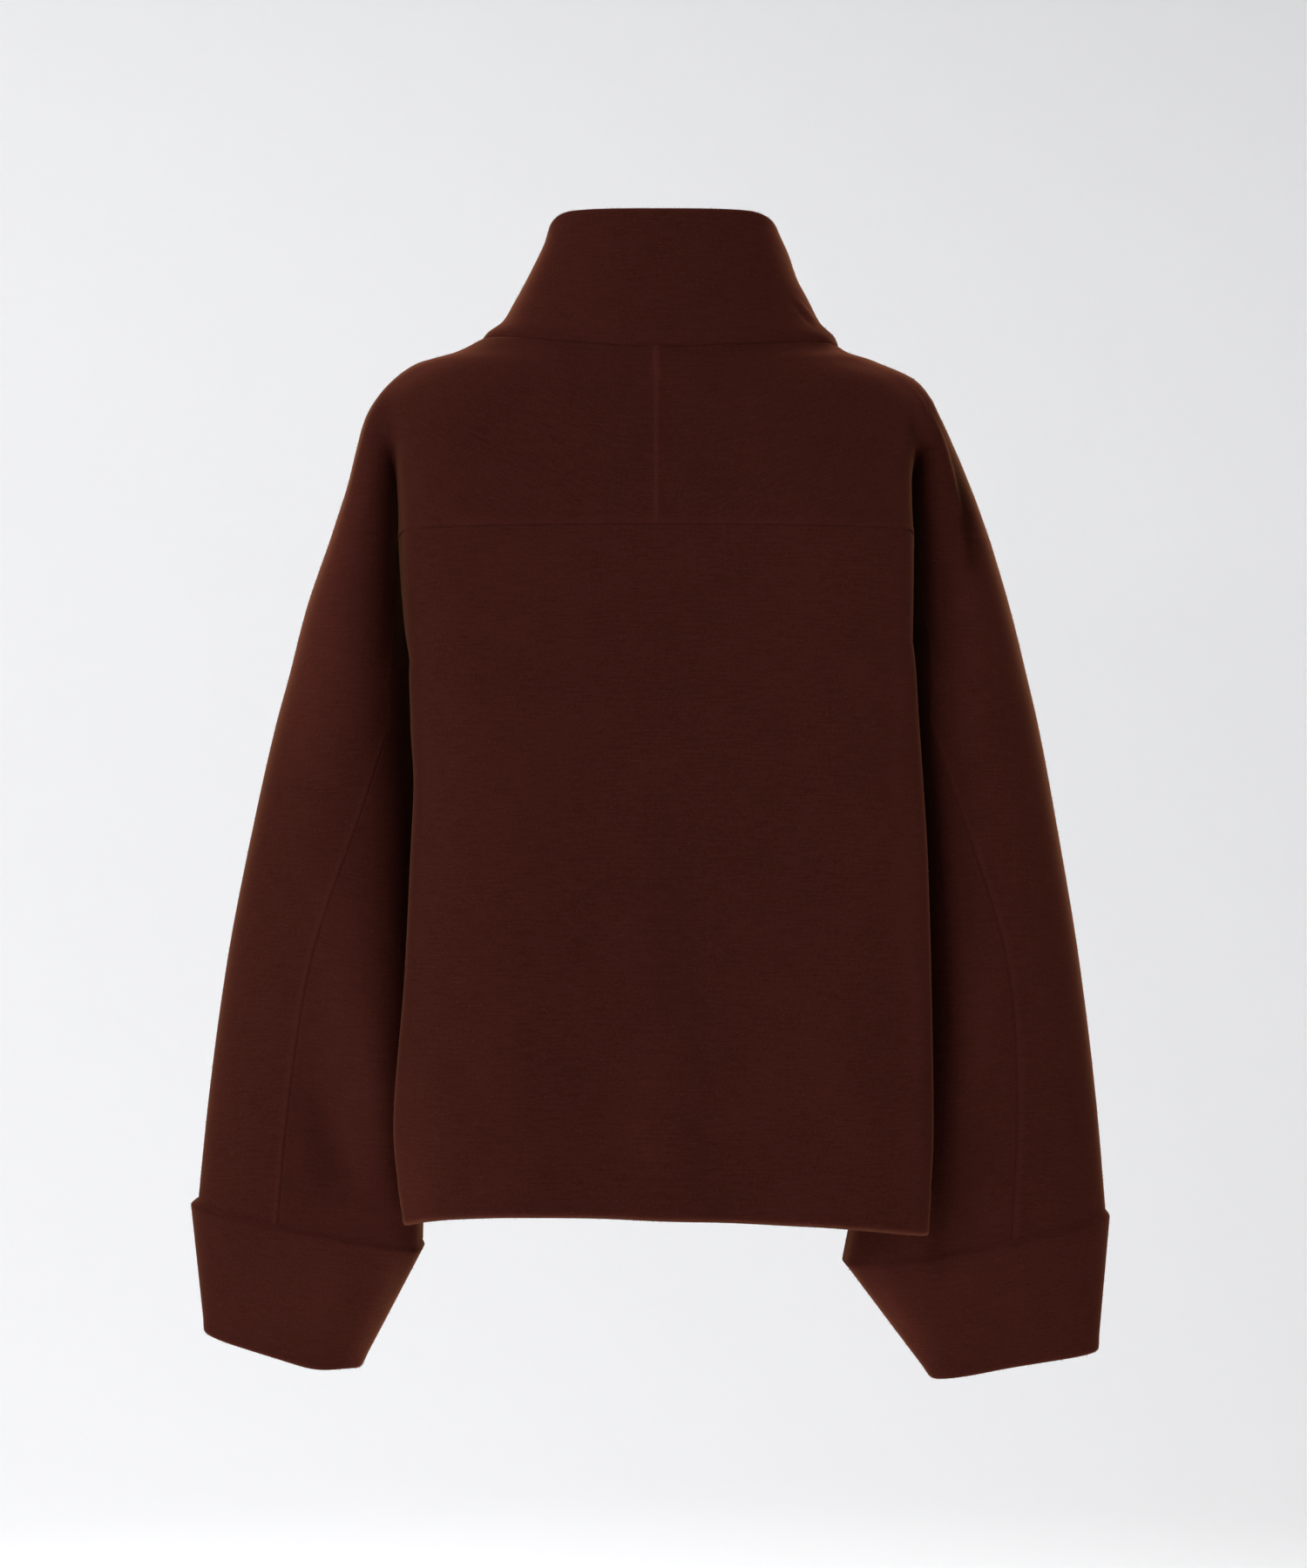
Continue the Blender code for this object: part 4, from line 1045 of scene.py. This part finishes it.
def fuzzTree():
    tree = bpy.data.node_groups.new("fuzz", "GeometryNodeTree")
    tree.interface.new_socket("Geometry", in_out="OUTPUT", socket_type="NodeSocketGeometry")
    for name, kind in (("Cloth", "Geometry"), ("Density", "Float"), ("Length", "Float"), ("Radius", "Float"),
                       ("Tilt", "Float"), ("Seed", "Int"), ("Fibre", "Material")):
        tree.interface.new_socket(name, in_out="INPUT", socket_type="NodeSocket" + kind)
    flow = Flow(tree)
    given = tree.nodes.new("NodeGroupInput")
    cloth, density, length, radius, tilt, seed, fibre = (Flow(tree, given.outputs[k]) for k in range(7))
    thick = flow.node("GeometryNodeInputNamedAttribute", {"data_type": "FLOAT"}, {"Name": "fuzz"})
    points = flow.node("GeometryNodeDistributePointsOnFaces", {},
                       {"Mesh": cloth, "Density": thick * density, "Seed": seed}, "Points")
    upright = Flow(tree, points.socket.node.outputs["Rotation"])
    hair = flow.node("GeometryNodeMeshCone", {"fill_type": "NGON"},
                     {"Vertices": 3, "Radius Top": 0.0, "Radius Bottom": radius, "Depth": length})
    most = flow.node("ShaderNodeCombineXYZ", {}, {"X": tilt, "Y": tilt, "Z": np.pi})
    least = flow.node("ShaderNodeVectorMath", {"operation": "SCALE"}, {0: most, "Scale": -1.0})
    lean = flow.node("FunctionNodeRandomValue", {"data_type": "FLOAT_VECTOR"},
                     {0: least, 1: most, "Seed": seed})
    leaning = flow.node("FunctionNodeEulerToRotation", {}, {0: lean})
    turned = flow.node("FunctionNodeRotateRotation", {"rotation_space": "LOCAL"},
                       {"Rotation": upright, "Rotate By": leaning})
    shortest, longest = fuzzStyle["sizes"]
    size = flow.node("FunctionNodeRandomValue", {"data_type": "FLOAT"},
                     {2: shortest, 3: longest, "Seed": seed}, 1)
    hairs = flow.node("GeometryNodeInstanceOnPoints", {},
                      {"Points": points, "Instance": hair, "Rotation": turned, "Scale": size})
    real = flow.node("GeometryNodeRealizeInstances", {}, {0: hairs})
    done = flow.node("GeometryNodeSetMaterial", {}, {0: real, "Material": fibre})
    flow.put(done, tree.nodes.new("NodeGroupOutput").inputs[0])
    return tree


def makeFuzz():
    fibre = material("wool_fibre", {"Base Color": fuzzStyle["colour"], "Roughness": fuzzStyle["roughness"],
                                    "Specular IOR Level": 0.0})
    points, corners, fuzz, base = [], [], [], 0
    for piece in welded.values():
        quads = piece["quads"]
        halves = np.concatenate([quads[:, [0, 1, 2]], quads[:, [0, 2, 3]]])
        halves = halves[(halves != np.roll(halves, 1, axis=1)).all(axis=1)]
        points.append(piece["points"])
        fuzz.append(piece["fuzz"])
        corners.append(halves + base)
        base += len(piece["points"])
    data = bpy.data.meshes.new("ground")
    data.from_pydata(np.concatenate(points).tolist(), [], np.concatenate(corners).tolist())
    layer = data.attributes.new("fuzz", "FLOAT", "POINT")
    layer.data.foreach_set("value", np.concatenate(fuzz).astype(np.float32))
    ground = placed("ground", data)
    tree = fuzzTree()
    modifier = ground.modifiers.new("fuzz", "NODES")
    modifier.node_group = tree
    values = {name.capitalize(): fuzzStyle[name] for name in ("density", "length", "radius", "tilt", "seed")}
    values["Fibre"] = fibre
    for item in tree.interface.items_tree:
        if item.name in values:
            modifier[item.identifier] = values[item.name]
    graph = bpy.context.evaluated_depsgraph_get()
    made = placed("wool_fuzz", bpy.data.meshes.new_from_object(ground.evaluated_get(graph)))
    bpy.data.objects.remove(ground)
    print(f"short coat: wool_fuzz, {len(made.data.polygons)} faces")
    return made


fuzzPiece = makeFuzz()


print("short coat: studio")

studio = {
    "camera": (0.0, 2.62, -0.3147),
    "lens": 81.2,
    "sensor": 36.0,
    "shift": -3 / 1800,      # of the picture's height
    "floor": -1.45,
    "wall": 4.6,             # radius of the paper's upright ring
    "bend": 1.6,
    "bendSteps": 16,
    "roundSteps": 96,
    "wallTop": 1.5,
    "paper": (0.86, 0.86, 0.86, 1.0),
    "sky": (0.95, 0.97, 1.0, 1.0),
    "skyStrength": 0.10,
}

camera = bpy.data.cameras.new("camera")
camera.lens = studio["lens"]
camera.sensor_width = studio["sensor"]
camera.shift_x = studio["shift"]
viewer = placed("camera", camera)
viewer.location = studio["camera"]
viewer.rotation_euler = (rightAngle, 0.0, np.pi)
bpy.context.scene.camera = viewer


def makeBackdrop():
    # round paper floor that bends up into a ring
    floor, bend, wall = studio["floor"], studio["bend"], studio["wall"]
    turn = np.linspace(0, rightAngle, studio["bendSteps"] + 1)
    profile = [(wall - bend + bend * np.sin(a), floor + bend * (1 - np.cos(a))) for a in turn]
    profile.append((wall, studio["wallTop"]))
    count = studio["roundSteps"]
    around = np.linspace(0, 2 * np.pi, count + 1)[:-1]
    points = [(r * np.cos(a), r * np.sin(a), z) for r, z in profile for a in around]
    ids = np.arange(len(points)).reshape(len(profile), count)
    after = np.roll(ids, -1, axis=1)
    quads = np.stack([ids[1:], after[1:], after[:-1], ids[:-1]], axis=-1).reshape(-1, 4).tolist()
    data = bpy.data.meshes.new("backdrop")
    data.from_pydata(points, [], quads + [tuple(range(count))])
    data.shade_smooth()
    data.materials.append(material("paper", {"Base Color": studio["paper"], "Roughness": 1.0,
                                             "Specular IOR Level": 0.0}))
    placed("backdrop", data)


makeBackdrop()

lamps = [
    # name, place, aimed at, size, watts, colour
    ("key", (1.9, 3.0, 0.1), (0.0, 0.0, -0.4), 1.4, 36.0, (0.99, 0.99, 1.01)),
    ("sideLeft", (3.0, 1.0, -0.4), (0.1, 0.0, -0.4), 1.6, 29.0, (0.97, 0.985, 1.07)),
    ("sideRight", (-3.0, 1.0, -0.4), (-0.1, 0.0, -0.4), 1.6, 20.0, (1.0, 0.98, 0.95)),
    ("top", (0.0, 0.5, 2.4), (0.0, 0.0, -0.05), 2.0, 19.0, (1.0, 0.99, 0.98)),
    ("topBehind", (-0.2, -1.2, 2.0), (0.0, 0.0, -0.05), 1.6, 82.0, (1.0, 0.99, 0.98)),
    ("topLeft", (1.8, -0.5, 1.7), (0.1, 0.0, 0.0), 1.2, 17.0, (0.97, 0.985, 1.07)),
    ("rimLeft", (2.0, -1.2, 0.2), (0.2, 0.0, -0.3), 1.2, 2.0, (1.0, 1.0, 1.0)),
    ("rimRight", (-2.0, -1.2, 0.2), (-0.2, 0.0, -0.3), 1.2, 2.0, (1.0, 0.94, 0.88)),
    ("under", (0.0, -1.3, -1.25), (0.0, 0.1, -0.68), 1.2, 10.0, (1.0, 0.98, 0.95)),
    ("wallWash", (1.1, -1.6, 1.4), (0.9, -4.6, -0.9), 2.4, 41.0, (0.99, 0.995, 1.02)),
]
for name, place, aim, size, watts, colour in lamps:
    lamp = bpy.data.lights.new(name, "AREA")
    lamp.size = size
    lamp.energy = watts
    lamp.color = colour
    holder = placed(name, lamp)
    holder.location = place
    holder.visible_camera = False
    holder.rotation_euler = (Vector(aim) - Vector(place)).to_track_quat("-Z", "Y").to_euler()

world = bpy.data.worlds.new("studio")
world.use_nodes = True
sky = world.node_tree.nodes["Background"].inputs
sky["Color"].default_value = studio["sky"]
sky["Strength"].default_value = studio["skyStrength"]
bpy.context.scene.world = world
bpy.context.scene.view_settings.view_transform = "Standard"

print("short coat: hand over")
for node, piece in coat.items():
    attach(piece, "root")
    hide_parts(node)
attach(fuzzPiece, "root")
